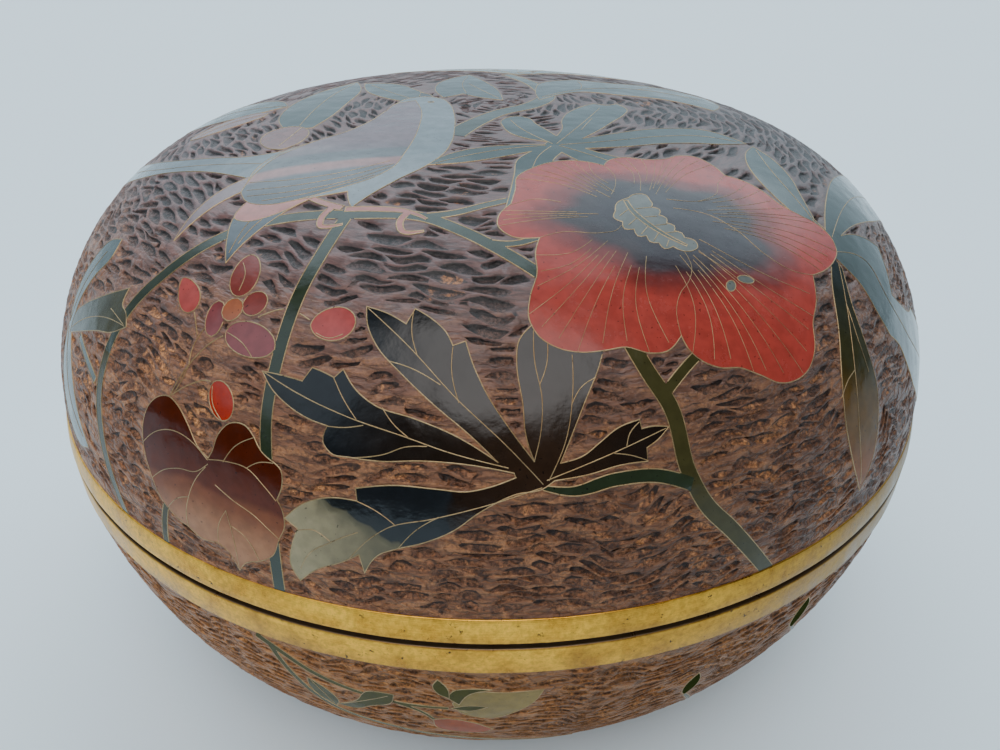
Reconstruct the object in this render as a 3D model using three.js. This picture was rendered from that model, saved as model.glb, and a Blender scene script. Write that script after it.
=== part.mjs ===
// A round lidded box of cloisonne enamel on metal: a flattened globe, parted at its widest line.
//
// The lid and the bowl are thin enamelled metal shells, hollow and empty. Each has a brass band
// soldered to its open edge. The bowl's band carries a collar that stands inside the lid and centres
// it, and a narrow ledge that the lid's band rests on, so a dark groove shows between the two bands.
// The bowl stands on a low foot formed from its own metal.
//
// Units are millimetres, +Z is up, and the origin is the centre of the foot's underside.

import * as THREE from "three";

// Driving dimensions
const BOX_RADIUS = 125; // outside of the brass bands, the widest part of the box
const WALL = 2.4; // metal with enamel on both faces
const SEGMENTS = 64; // facets round the axis

// The groove between the bands, with the seam line in its middle
const GROOVE_HALF = 0.7;
const LEDGE_WIDTH = 1.7;
const BAND_CHAMFER = 0.5;

// Heights of the bands above and below the seam line
const LID_BAND_TOP = 0.0525 * BOX_RADIUS;
const BOWL_BAND_BOTTOM = 0.061 * BOX_RADIUS;

// The enamel surfaces where they meet the bands, just inside the bands' own edges
const LID_RADIUS = 0.99 * BOX_RADIUS;
const BOWL_RADIUS = 0.9975 * BOX_RADIUS;
const BAND_PROUD = 0.3;

// Superellipses (r / radius)^across + (h / height)^along = 1 give the two domes
const LID_CURVE = { height: 0.523 * BOX_RADIUS, across: 4, along: 1.8, steps: 14 };
const BOWL_CURVE = { height: 0.534 * BOX_RADIUS, across: 7, along: 1.36, steps: 14 };
const INNER_STEPS = 10;

// The foot ring under the bowl
const FOOT_RADIUS = 0.6 * BOX_RADIUS;
const FOOT_WIDTH = 3.5;
const FOOT_RECESS = 3.2; // how far the bowl's flat underside stands above the foot's own
const FOOT_FILLET = 1.2;

// The collar on the bowl's band
const COLLAR_THICKNESS = 1.5;
const COLLAR_HEIGHT = 7.5; // above the seam line
const COLLAR_PLAY = 0.5; // radial play inside the lid's band
const COLLAR_BEVEL = 0.3;

// The seam line's height above the ground the box stands on
const SEAM_HEIGHT = BOWL_BAND_BOTTOM + BOWL_CURVE.height + FOOT_RECESS;

const enamel = new THREE.MeshStandardMaterial({ color: 0x6b4a3c, roughness: 0.35, metalness: 0.0 });
const brass = new THREE.MeshStandardMaterial({ color: 0xb08a3e, roughness: 0.35, metalness: 1.0 });

// One quarter of a superellipse as [r, h] pairs, from the pole on the axis out to the rim at h = 0.
// The steps are drawn together where the curve bends.
function quarterCurve(radius, height, { across, along }, steps) {
  const points = [];
  for (let i = 0; i <= steps; i++) {
    const turn = (Math.PI / 2) * (i / steps) ** (across / 2);
    const r = i === 0 ? 0 : radius * Math.sin(turn) ** (2 / across);
    const h = i === steps ? 0 : height * Math.cos(turn) ** (2 / along);
    points.push([r, h]);
  }
  return points;
}

// Height of a superellipse above its rim plane, at distance r from the axis.
function curveHeight(r, radius, height, { across, along }) {
  return height * (1 - (r / radius) ** across) ** (1 / along);
}

// A named solid of revolution about +Z. The outline is [r, z] pairs measured from the seam line.
// It starts and ends on the axis, or is a ring's outline, which is closed here.
function turned(name, outline, material) {
  const onAxis = outline[0][0] === 0;
  const closed = onAxis ? outline : [...outline, outline[0]];
  const points = closed.map(([r, z]) => new THREE.Vector2(r, z + SEAM_HEIGHT));
  const geometry = new THREE.LatheGeometry(points, SEGMENTS).rotateX(Math.PI / 2);
  const mesh = new THREE.Mesh(geometry, material);
  mesh.name = name;
  return mesh;
}

// The lid's shell: the inside from the pole down to the edge, then the outside back up.
function lidShell() {
  const { height } = LID_CURVE;
  const inside = quarterCurve(LID_RADIUS - WALL, height - WALL, LID_CURVE, INNER_STEPS);
  const outside = quarterCurve(LID_RADIUS, height, LID_CURVE, LID_CURVE.steps);
  const outline = [...inside, ...outside.reverse()].map(([r, h]) => [r, LID_BAND_TOP + h]);
  return turned("lid", outline, enamel);
}

// The bowl's shell with its foot: underside, foot ring, outside up to the edge, then down the inside.
function bowlShell() {
  const { height } = BOWL_CURVE;
  const bottom = height + FOOT_RECESS;
  const footInner = FOOT_RADIUS - FOOT_WIDTH;
  const outerJoin = FOOT_RADIUS + FOOT_FILLET;
  const outerDepth = curveHeight(outerJoin, BOWL_RADIUS, height, BOWL_CURVE);

  const foot = [
    [0, height],
    [footInner - FOOT_FILLET, height],
    [footInner, height + FOOT_FILLET],
    [footInner, bottom],
    [FOOT_RADIUS, bottom],
    [FOOT_RADIUS, outerDepth + FOOT_FILLET],
  ];
  const outside = quarterCurve(BOWL_RADIUS, height, BOWL_CURVE, BOWL_CURVE.steps).filter(
    ([r]) => r > outerJoin,
  );
  const inside = quarterCurve(BOWL_RADIUS - WALL, height - WALL, BOWL_CURVE, INNER_STEPS)
    .reverse()
    .filter(([r]) => r > footInner);
  const floor = [
    [footInner / 2, height - WALL],
    [0, height - WALL],
  ];
  const outline = [...foot, [outerJoin, outerDepth], ...outside, ...inside, ...floor];
  return turned(
    "bowl",
    outline.map(([r, depth]) => [r, -BOWL_BAND_BOTTOM - depth]),
    enamel,
  );
}

const lidBandInner = LID_RADIUS - WALL;
const collarOuter = lidBandInner - COLLAR_PLAY;
const collarInner = collarOuter - COLLAR_THICKNESS;

// The lid's brass band, a plain ring with a chamfered lower edge and a slight inward slope.
function lidBand() {
  return turned(
    "lid_rim",
    [
      [lidBandInner, GROOVE_HALF],
      [BOX_RADIUS - BAND_CHAMFER, GROOVE_HALF],
      [BOX_RADIUS, GROOVE_HALF + BAND_CHAMFER],
      [LID_RADIUS + BAND_PROUD, LID_BAND_TOP],
      [lidBandInner, LID_BAND_TOP],
    ],
    brass,
  );
}

// The bowl's brass band with the ledge under the lid's band and the collar inside it.
function bowlBand() {
  const ledgeOuter = lidBandInner + LEDGE_WIDTH;
  return turned(
    "bowl_rim",
    [
      [collarInner, -BOWL_BAND_BOTTOM],
      [BOX_RADIUS, -BOWL_BAND_BOTTOM],
      [BOX_RADIUS, -GROOVE_HALF - BAND_CHAMFER],
      [BOX_RADIUS - BAND_CHAMFER, -GROOVE_HALF],
      [ledgeOuter, -GROOVE_HALF],
      [ledgeOuter, GROOVE_HALF],
      [collarOuter, GROOVE_HALF],
      [collarOuter, COLLAR_HEIGHT - COLLAR_BEVEL],
      [collarOuter - COLLAR_BEVEL, COLLAR_HEIGHT],
      [collarInner + COLLAR_BEVEL, COLLAR_HEIGHT],
      [collarInner, COLLAR_HEIGHT - COLLAR_BEVEL],
    ],
    brass,
  );
}

const box = new THREE.Group();
box.add(bowlShell(), bowlBand(), lidBand(), lidShell());

export default box;
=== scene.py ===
# A round cloisonne enamel box: bark-textured ground with a bird, flowers and leaves in coloured
# enamels between fine brass wires, brass-banded edges, a smooth lining and a low foot.
#
# The picture is laid out in millimetres on a flat map of each dome. The map's centre is the dome's
# pole and distance from it is arc length, with +x and +y pointing the same way as on the box.
import math
import random

import bpy
import numpy as np
from mathutils import Matrix, Vector
from mathutils.geometry import delaunay_2d_cdt
from mathutils.kdtree import KDTree


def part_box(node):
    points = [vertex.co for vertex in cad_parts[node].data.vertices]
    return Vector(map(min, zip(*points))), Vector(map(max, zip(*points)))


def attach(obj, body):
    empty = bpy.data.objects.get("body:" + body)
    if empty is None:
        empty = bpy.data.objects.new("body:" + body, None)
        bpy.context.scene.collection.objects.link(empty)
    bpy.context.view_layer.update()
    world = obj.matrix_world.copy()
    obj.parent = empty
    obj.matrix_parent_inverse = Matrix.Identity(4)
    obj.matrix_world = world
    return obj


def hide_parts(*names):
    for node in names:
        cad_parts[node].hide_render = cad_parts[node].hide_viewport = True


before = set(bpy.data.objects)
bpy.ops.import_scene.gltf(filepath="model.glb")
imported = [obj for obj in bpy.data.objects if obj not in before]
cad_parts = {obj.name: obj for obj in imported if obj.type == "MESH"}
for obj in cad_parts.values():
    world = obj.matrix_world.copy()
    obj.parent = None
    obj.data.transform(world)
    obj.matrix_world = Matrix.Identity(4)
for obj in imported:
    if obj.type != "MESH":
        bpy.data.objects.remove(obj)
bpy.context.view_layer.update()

MM = 0.001
STEP = 0.85  # spacing of points along a wire, mm
ROUND = 256  # points round the axis on a dome's edge and in its linings

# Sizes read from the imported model
LID_LOW, LID_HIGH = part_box("lid")
BOWL_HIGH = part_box("bowl")[1]
LID_BAND_LOW, LID_BAND_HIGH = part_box("lid_rim")
BOWL_BAND_LOW, BOWL_BAND_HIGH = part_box("bowl_rim")
LID_RADIUS = LID_HIGH.x / MM
LID_RISE = (LID_HIGH.z - LID_LOW.z) / MM
LID_EDGE = LID_LOW.z / MM
BOX_RADIUS = LID_BAND_HIGH.x / MM
BOWL_RADIUS = BOWL_HIGH.x / MM
BOWL_EDGE = BOWL_HIGH.z / MM

# Shape facts shared with the solids, mm
WALL = 2.4
GROOVE_HALF = 0.7
SEAM = LID_BAND_LOW.z / MM - GROOVE_HALF
BAND_CHAMFER = 0.5
BAND_PROUD = 0.3
LEDGE_WIDTH = 1.7
COLLAR_PLAY = 0.5
COLLAR_THICKNESS = 1.5
COLLAR_BEVEL = 0.4  # rounded here, so a little more than the solid's flat one
FOOT_RECESS = 3.2
FOOT_RADIUS = 75.0
FOOT_WIDTH = 3.5
FOOT_FILLET = 1.2
LID_CURVE = (4.0, 1.8)
BOWL_CURVE = (7.0, 1.36)

# Relief, mm
ENAMEL_PROUD = 0.05
BED_DEPTH = 0.3  # how far the ground lies under an enamel
BED_MARGIN = 0.5  # the ground under an enamel keeps its height this close to a wire
WIRE_WIDTH = 0.28
WIRE_RISE = 0.09
WIRE_ROOT = -0.04
EDGE_MARGIN = 0.35  # the ground stays at its full height this close to a wire or a band
EDGE_RUN = 1.1  # distance over which the ground's swells grow to their full depth from there
SETTLE = 0.1  # how far the lid's face lies under the solid's, so that no wire stands above it
SETTLE_RUN = 4.0  # distance from the rim over which the lid's face sinks


# ---------------------------------------------------------------- maps and meshes


class Dome:
    """The outer enamel face of the lid or the bowl, and its flat map."""

    def __init__(self, radius, height, edge, facing, curve, settle=0.0):
        self.settle, self.facing = settle, facing
        across, along = curve
        turn = np.linspace(0, 1, 3001) ** (across / 2) * math.pi / 2
        rise = height * np.cos(turn).clip(0) ** (2 / along)
        rise[-1] = 0
        self.r = radius * np.sin(turn) ** (2 / across)
        self.z = edge + facing * rise
        run = np.hypot(np.diff(self.r), np.diff(self.z))
        self.arc = np.concatenate([[0], np.cumsum(run)])
        self.size = float(self.arc[-1])
        out = np.gradient(self.r, self.arc), np.gradient(self.z, self.arc)
        length = np.hypot(*out)
        self.normal_r = -facing * out[1] / length
        self.normal_z = facing * out[0] / length

    def normals(self, xy):
        rho = np.hypot(xy[:, 0], xy[:, 1])
        unit = xy / np.maximum(rho, 1e-9)[:, None]
        nr = np.interp(rho, self.arc, self.normal_r)
        nz = np.interp(rho, self.arc, self.normal_z)
        n = np.column_stack([unit * nr[:, None], nz])
        return n / np.linalg.norm(n, axis=1)[:, None]

    def place(self, xy, lift=0.0):
        """Points on the box, in metres, for map points lifted off the face by lift mm."""
        xy = np.asarray(xy, float)
        rho = np.hypot(xy[:, 0], xy[:, 1])
        unit = xy / np.maximum(rho, 1e-9)[:, None]
        r = np.interp(rho, self.arc, self.r)
        z = np.interp(rho, self.arc, self.z)
        base = np.column_stack([unit * r[:, None], z])
        sink = self.settle * np.clip((self.size - rho) / SETTLE_RUN, 0, 1)
        return (base + self.normals(xy) * (np.reshape(lift, (-1, 1)) - sink[:, None])) * MM


LID = Dome(LID_RADIUS, LID_RISE, LID_EDGE, 1, LID_CURVE, SETTLE)
BOWL = Dome(BOWL_RADIUS, BOWL_EDGE - FOOT_RECESS, BOWL_EDGE, -1, BOWL_CURVE)


def make_mesh(name, points, faces, materials, face_material=None, smooth=True):
    mesh = bpy.data.meshes.new(name)
    mesh.from_pydata(np.asarray(points).tolist(), [], [list(map(int, f)) for f in faces])
    for m in materials:
        mesh.materials.append(m)
    if face_material is not None:
        mesh.polygons.foreach_set("material_index", np.asarray(face_material, dtype=np.int32))
    mesh.polygons.foreach_set("use_smooth", [smooth] * len(mesh.polygons))
    mesh.update()
    piece = bpy.data.objects.new(name, mesh)
    bpy.context.scene.collection.objects.link(piece)
    return piece


def store(piece, name, values):
    """A number or a vector for each vertex, for the piece's material to read."""
    values = np.asarray(values, dtype=np.float32)
    kind = "FLOAT" if values.ndim == 1 else "FLOAT_VECTOR"
    layer = piece.data.attributes.new(name, kind, "POINT")
    layer.data.foreach_set("value" if values.ndim == 1 else "vector", values.ravel())


def lathe(outline, segments=ROUND, closed=False):
    """Points and faces of an outline of (r, z) in mm turned about the axis."""
    turns = np.arange(segments) * 2 * math.pi / segments
    ring = np.column_stack([np.cos(turns), np.sin(turns)])
    outline = np.asarray(outline, float)
    points = [np.column_stack([ring * r, np.full(segments, z)]) for r, z in outline]
    rows = len(outline)
    faces = []
    for i in range(rows if closed else rows - 1):
        a, b = i * segments, (i + 1) % rows * segments
        for j in range(segments):
            k = (j + 1) % segments
            faces.append((a + j, a + k, b + k, b + j))
    return np.concatenate(points) * MM, faces


def weld(points, faces, labels):
    """Merges points that coincide, and drops faces that collapse."""
    keys = np.round(points / 1e-7).astype(np.int64)
    _, first, back = np.unique(keys, axis=0, return_index=True, return_inverse=True)
    back = back.ravel()
    kept, kept_labels = [], []
    for face, label in zip(faces, labels):
        loop = []
        for v in face:
            w = int(back[v])
            if w not in loop:
                loop.append(w)
        if len(loop) > 2:
            kept.append(loop)
            kept_labels.append(label)
    return points[first], kept, kept_labels, first


# ---------------------------------------------------------------- curves and outlines


def spline(points, step=STEP):
    """A smooth open curve through the points, with samples about step apart."""
    p = np.asarray([q[:2] for q in points], float)
    if len(p) < 3:
        n = max(1, int(round(np.linalg.norm(p[1] - p[0]) / step)))
        return p[0] + (p[1] - p[0]) * np.linspace(0, 1, n + 1)[:, None]
    gap = np.maximum(np.linalg.norm(np.diff(p, axis=0), axis=1), 1e-6)
    slope = np.diff(p, axis=0) / gap[:, None]
    tangent = np.empty_like(p)
    w = gap[1:, None] / (gap[1:, None] + gap[:-1, None])
    tangent[1:-1] = slope[:-1] * w + slope[1:] * (1 - w)
    tangent[0] = 1.5 * slope[0] - 0.5 * tangent[1]
    tangent[-1] = 1.5 * slope[-1] - 0.5 * tangent[-2]
    parts = []
    for i in range(len(p) - 1):
        n = max(1, int(round(gap[i] / step)))
        t = np.linspace(0, 1, n + 1)[:-1, None]
        m0, m1 = tangent[i] * gap[i], tangent[i + 1] * gap[i]
        parts.append(
            (2 * t**3 - 3 * t**2 + 1) * p[i]
            + (t**3 - 2 * t**2 + t) * m0
            + (-2 * t**3 + 3 * t**2) * p[i + 1]
            + (t**3 - t**2) * m1
        )
    return np.concatenate(parts + [p[-1:]])


def loop_runs(points):
    """The smooth runs of a closed outline. A third value of 1 marks a corner between two runs."""
    corners = [i for i, q in enumerate(points) if len(q) > 2]
    if not corners:
        whole = spline(list(points[-3:]) + list(points) + list(points[:3]))
        hits = np.nonzero(np.linalg.norm(whole - points[0], axis=1) < 1e-6)[0]
        return [whole[hits[0] : hits[-1] + 1]]
    turned = points[corners[0] :] + points[: corners[0]] + [points[corners[0]]]
    runs, run = [], [turned[0]]
    for q in turned[1:]:
        run.append(q)
        if len(q) > 2:
            runs.append(spline(run))
            run = [q]
    return runs


def strip_outline(points, widths):
    """The outline of a band along a smooth curve, with its width given at even steps along it."""
    mid = spline(points)
    gap = np.concatenate([[0], np.cumsum(np.linalg.norm(np.diff(mid, axis=0), axis=1))])
    even = np.linspace(0, gap[-1], len(widths))
    half = np.interp(gap, even, widths)[:, None] / 2
    along = np.gradient(mid, axis=0)
    along /= np.linalg.norm(along, axis=1)[:, None]
    side = np.column_stack([-along[:, 1], along[:, 0]])
    left, right = mid + side * half, mid - side * half
    return [left, np.array([left[-1], right[-1]]), right[::-1], np.array([right[0], left[0]])]


def inside(points, polygon):
    """Which of the points lie inside the polygon."""
    x, y = points[:, 0], points[:, 1]
    low, high = polygon.min(axis=0), polygon.max(axis=0)
    near = (x >= low[0]) & (x <= high[0]) & (y >= low[1]) & (y <= high[1])
    result = np.zeros(len(points), bool)
    if not near.any():
        return result
    px, py = x[near][:, None], y[near][:, None]
    ax, ay = polygon[:, 0][None], polygon[:, 1][None]
    bx, by = np.roll(polygon[:, 0], -1)[None], np.roll(polygon[:, 1], -1)[None]
    crosses = (ay > py) != (by > py)
    rise = np.where(by == ay, 1e-12, by - ay)
    hit = crosses & (px < ax + (py - ay) / rise * (bx - ax))
    result[near] = hit.sum(axis=1) % 2 == 1
    return result


class Cell:
    """An outline of wire filled with one enamel. Later cells lie over earlier ones."""

    def __init__(self, piece, enamel, runs, tone=None, veins=(), family=None, vein_width=0.24):
        self.piece, self.enamel, self.runs, self.tone = piece, enamel, runs, tone
        self.vein_width = vein_width
        self.veins = [spline(v) for v in veins]
        self.family = family
        ring = np.concatenate([run[:-1] for run in runs])
        area = np.cross(ring, np.roll(ring, -1, axis=0)).sum()
        self.polygon = ring if area > 0 else ring[::-1]


def leaf(piece, enamel, points, veins=(), tone=None):
    return Cell(piece, enamel, loop_runs(points), tone, veins)


def stem(piece, enamel, points, widths, family):
    """A stem of even steps in width. Stems of one family run into each other with no wire between."""
    return Cell(piece, enamel, strip_outline(points, widths), family=family)


def axes(turn):
    """Unit vectors along and across a direction given in degrees."""
    a = math.radians(turn)
    return np.array([math.cos(a), math.sin(a)]), np.array([-math.sin(a), math.cos(a)])


def along(base, length):
    """A tone that runs from 0 at a leaf's base to 1 at that distance from it."""
    return lambda xy: np.clip(np.hypot(xy[:, 0] - base[0], xy[:, 1] - base[1]) / length, 0, 1)


def oval(piece, enamel, centre, size, turn, point=0.0, veins=()):
    """A rounded bud or petal, drawn out to a tip at one end by point."""
    along_it, over = axes(turn)
    ring = []
    for t in np.linspace(0, 2 * math.pi, 13)[:-1]:
        reach = math.cos(t) * (1 + point * max(0, math.cos(t)) ** 3)
        width = math.sin(t) * (1 - 0.35 * point * math.cos(t))
        ring.append(tuple(np.array(centre) + along_it * reach * size[0] / 2 + over * width * size[1] / 2))
    return Cell(piece, enamel, loop_runs(ring), None, veins)


# ---------------------------------------------------------------- the picture on the lid


def front_leaf():
    edge = [
        (-24, -96.5, 1), (-20, -98.3), (-16.3, -100.8, 1), (-14.6, -97.8, 1), (-11.5, -100),
        (-8.6, -103), (-7.4, -105.5, 1), (-5, -104.7, 1), (-4, -108), (-1, -114.5), (3.5, -120.8),
        (8.3, -126.3, 1), (6.6, -122), (5.8, -116), (4.6, -109), (5, -104.5), (7.3, -101.5, 1),
        (14, -103.5), (21.2, -104.5, 1), (20.4, -108), (17.6, -115.5), (15, -122.5),
        (13.5, -126.4, 1), (18, -124.8), (21, -122.3), (24.5, -119.3), (28.8, -117.3, 1),
        (29.4, -118.9, 1), (31.5, -118.2), (35, -117.8, 1), (33, -120.4), (30.8, -122.2, 1),
        (31.3, -124.6, 1), (26, -125.8), (19, -128.2), (12.5, -129.6, 1), (10.2, -131.2),
        (5, -132.3), (-2, -135.5), (-8, -139.2), (-15, -141.5), (-20, -142.3), (-25, -143.6),
        (-28.5, -147, 1), (-29, -143.1, 1), (-34, -144.5), (-40, -145.5), (-45.5, -147.7, 1),
        (-46.6, -143.5), (-45, -140), (-42.4, -136.6, 1), (-45, -134.2, 1), (-40, -132),
        (-34, -131.4), (-27.6, -132.6, 1), (-27.6, -130.2, 1), (-20, -130.2), (-11, -131.3),
        (-5, -131.9), (0, -131), (4.8, -129.3, 1), (4.4, -128.5, 1), (-5, -127), (-14, -126.1),
        (-22, -125.7), (-28, -124.5), (-32.2, -123.2), (-33.5, -121), (-32.3, -118.3, 1),
        (-36, -116.6), (-41, -112.8), (-43.6, -109.8), (-45.5, -106, 1), (-41, -107.7),
        (-37, -109.4, 1), (-34.8, -107.2, 1), (-32.5, -108.4), (-30.4, -109.7, 1),
        (-28.5, -108.4, 1), (-26, -112.6), (-22.5, -115.6), (-15, -118.5), (-7, -121.9),
        (1.2, -126.6, 1), (-4, -122), (-11, -116.3), (-17, -110.5), (-22, -104.5), (-23.8, -100),
    ]
    veins = [
        [(-23.6, -97), (-16, -105), (-6.5, -115.5), (3, -123.8), (10.2, -130.3)],
        [(-14.9, -98.4), (-15.2, -102.5), (-14.2, -106.8)],
        [(-19.7, -107.7), (-15.5, -109.3), (-9.8, -112.7)],
        [(-7.4, -105.8), (-7.6, -110.5), (-6.3, -116)],
        [(7.7, -102.5), (7.9, -108), (9.5, -115.5), (9.4, -121), (8.3, -126.3)],
        [(10.4, -105), (10.2, -109), (9, -112.5)],
        [(15, -106), (15.3, -113.5), (14.4, -122), (11.4, -129.6)],
        [(19.6, -110.6), (17, -112.5), (15.2, -115.8)],
        [(34.4, -118.2), (27, -122.3), (19, -126.2), (11, -129.6)],
        [(31, -124.4), (27.5, -123.9), (24.2, -123.9)],
        [(28.7, -117.8), (27, -120), (26.6, -122.3)],
        [(-45, -106.4), (-38, -111.6), (-28, -117.2), (-17, -121.6), (-8, -124.9), (3.2, -127.6)],
        [(-30.4, -109.9), (-28.6, -114), (-26.3, -117.8)],
        [(-21, -116.2), (-19, -119.2), (-16.3, -121.7)],
        [(-32.2, -118.4), (-29, -119), (-25, -119)],
        [(-27.6, -124.6), (-21, -124.5), (-17, -123.5), (-12.6, -123.6)],
        [(10, -131), (0, -134.2), (-12, -136.8), (-22, -138.2), (-26.5, -140.3), (-31.5, -143.8)],
        [(-20, -142.3), (-16, -139), (-10.8, -136.5)],
        [(-44.3, -145), (-41, -142), (-35.5, -140.2), (-28.5, -138.6)],
        [(-27.5, -132.7), (-24, -134.6), (-20, -137.7)],
        [(-42.4, -137), (-38.6, -137.3), (-35.3, -139.8)],
    ]
    return [leaf("front_leaf", "leaf_dark", edge, veins, front_leaf_tone_and_reflection)]


def front_leaf_tone_and_reflection(xy):
    """Near black, with a painted reflection turning the low lobe olive from its middle to its tip."""
    x, y = xy.T
    base = np.clip(np.hypot(x - 10, y + 131) / 90, 0, 0.62)
    # The olive on the low lobe is a painted reflection
    turned = np.clip((-24 - x + 1.6 * (-136.5 - y)) / 5, 0, 1)
    reflected_olive = 0.5 + turned * (0.3 + 0.2 * np.clip((-24 - x) / 22, 0, 1))
    return np.where((y < -129) & (x < -8), np.maximum(base, reflected_olive), base)


def brown_leaf_tone_and_reflection(xy):
    """Dark red in the upper and right lobes, paling towards the tip with a painted reflection."""
    return np.clip((-0.45 * (xy[:, 0] + 56) - 0.9 * (xy[:, 1] + 121)) / 17, 0, 1)


def brown_leaf():
    edge = [
        (-61.5, -119.5, 1), (-63.6, -117), (-65.6, -111.5), (-67.4, -107.6), (-70, -104.7),
        (-73.2, -103.8), (-76.4, -104.4), (-79.4, -107), (-81, -111), (-81.3, -118.6, 1),
        (-80.6, -123.4), (-79.2, -126, 1), (-77, -129), (-74.2, -131.4, 1), (-71.5, -134.4),
        (-66.6, -136.4, 1), (-64.2, -138.4), (-62.7, -143.6, 1), (-59.5, -142.2), (-54.8, -142.3),
        (-50.5, -141.3), (-47.8, -138.3), (-45.6, -136), (-45.1, -132.8), (-45.9, -130.4, 1),
        (-43.9, -127.6), (-43.6, -125.2), (-45, -123.4, 1), (-47.6, -120.8), (-48.8, -118, 1),
        (-50.6, -115.4), (-54.4, -114.2), (-57.6, -115.6), (-60.2, -118.6),
    ]
    veins = [
        [(-61.8, -119.8), (-66, -114.6), (-71, -111.4), (-76.5, -110.3), (-80.9, -110.9)],
        [(-62, -120.6), (-66, -121.2), (-71, -119.4), (-76, -118.4), (-81.2, -118.7)],
        [(-62.8, -121), (-66.5, -122.6), (-70.5, -125.6), (-73.4, -129), (-74.1, -131.2)],
        [(-70.4, -125.6), (-74.6, -125), (-79.2, -126)],
        [(-61.2, -125), (-57.4, -128.8), (-52.8, -132.6), (-49.4, -136.4), (-47.8, -138.2)],
        [(-61.4, -119.8), (-56.6, -121.2), (-51.8, -123.4), (-48.4, -127.4), (-46.2, -130.6)],
        [(-57.6, -121), (-54, -118.8), (-49, -118)],
        [(-51.8, -123.3), (-48.6, -122.8), (-45.2, -123.5)],
        [(-60.2, -130.5), (-64, -133.2), (-65.9, -136.6)],
        [(-60, -133.8), (-57, -136.6), (-55.2, -142.2)],
        [(-60.2, -130.5), (-60.3, -134), (-61.4, -139.6), (-62.7, -143.4)],
    ]
    return [leaf("brown_leaf", "leaf_brown", edge, veins, brown_leaf_tone_and_reflection)]


def stems():
    """Boughs and stalks as enamel, family, places along the middle and widths at even steps."""
    parts = [
        ("stem_olive", "bough", [(25.6, -102), (30, -108.3), (35, -114), (40.8, -125.5), (46, -130.6),
         (55, -134.9), (66, -139.6), (78, -144)], [3.2, 3.4, 3.6, 3.4]),
        ("stem_olive", "bough", [(41.5, -102), (37.6, -106.6), (34, -111.5)], [1.9, 2.1]),
        ("stem_green", "bough", [(10.4, -131), (16, -131.4), (25, -128.6), (34, -127), (42, -127.6)],
         [0.9, 2.4, 2.5, 2.6]),
        ("stem_olive", "spray", [(-103, -128), (-101.4, -115), (-99.2, -103), (-95.5, -93.5), (-89, -86)],
         [3, 2.9, 2.8]),
        ("stem_green", "spray", [(-90, -86.8), (-82, -81), (-71, -76.4), (-60, -72.3), (-50, -70.3),
         (-38, -70.4), (-28, -71.8), (-14, -74.2), (-6, -79), (2, -84.8), (12, -92.5)], [2.8, 2.8, 2.6]),
        ("stem_green", "spray", [(-15, -74), (-8, -73), (-1, -70), (6, -67)], [2, 1.7]),
        ("stem_green", "spray", [(-2, -82), (3.4, -82.6), (10, -80)], [1.6, 1.4]),
        ("stem_green", "spray", [(-30, -72), (-33.4, -81), (-38, -92), (-42.4, -105), (-45.2, -114),
         (-47, -125), (-49.4, -138), (-52.5, -149), (-55.5, -158)], [2.7, 2.8, 2.6, 3, 3.2]),
        ("stem_green", "spray", [(-104, -75), (-101, -82), (-97, -90.5)], [1.5, 1.7]),
        ("stem_olive", "lowstem", [(-90, -138), (-85.4, -131), (-78, -124)], [2.4, 1.8]),
        ("stem_green", "crown", [(-9.8, -31), (-5, -20), (2, -8.5), (10, -1), (15, 9), (13, 24), (4, 44)],
         [6, 5, 5.5, 4, 3.4]),
    ]
    return [stem("stems", enamel, points, widths, family) for enamel, family, points, widths in parts]


def upper_leaf():
    edge = [
        (13, -35.5, 1), (8.6, -33.6), (4.8, -30), (2.4, -23), (2, -17.5), (3.2, -14.5, 1),
        (6.5, -12.6), (9.4, -15), (10.6, -19.5), (13.2, -25.6), (15.4, -31, 1), (17.2, -24.5),
        (17.8, -16), (20, -8.4), (24.6, -1), (28, 2.6, 1), (31.5, 1), (34.5, 3.2, 1), (36.6, -3),
        (34.5, -10), (31, -16.5), (26.4, -25), (21.6, -32.4, 1), (29, -28), (37, -23.4), (46, -19.8),
        (54, -18.4), (64.5, -24.4, 1), (56.5, -28.6), (49, -30.6), (41, -33.2), (32, -37),
        (21.6, -39.8, 1), (25, -42.6), (30.5, -45.6, 1), (27, -50), (24, -53, 1), (19.6, -48.4),
        (15.8, -43, 1), (13.6, -48), (12.4, -56), (8, -66), (2.6, -71, 1), (3.8, -63), (4.6, -56),
        (5.4, -48.6), (8.8, -42.8, 1), (3.6, -45.8), (-3, -49), (-9, -50.8), (-14.6, -51.4, 1),
        (-11.6, -46.6), (-6.6, -42.4), (0.5, -39.4), (7, -38.2), (12, -37.8, 1),
    ]
    veins = [
        [(14, -37), (10, -31), (6.6, -24), (4.4, -16.6)],
        [(15, -37), (19, -28), (23.6, -17), (29, -3)],
        [(22, -25), (24.2, -18.6), (25.8, -14)],
        [(16, -37.6), (28, -33.6), (42, -27.4), (52, -24.2), (62, -24.4)],
        [(15.6, -38.4), (20, -42), (26.6, -47.6)],
        [(13.6, -39), (10.4, -45.6), (8.4, -54), (5, -66)],
        [(12.4, -38.4), (3, -41.4), (-5, -45.4), (-13, -50.6)],
    ]
    return [leaf("upper_leaf", "leaf_grey", edge, veins, along((15, -38), 50))]


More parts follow.
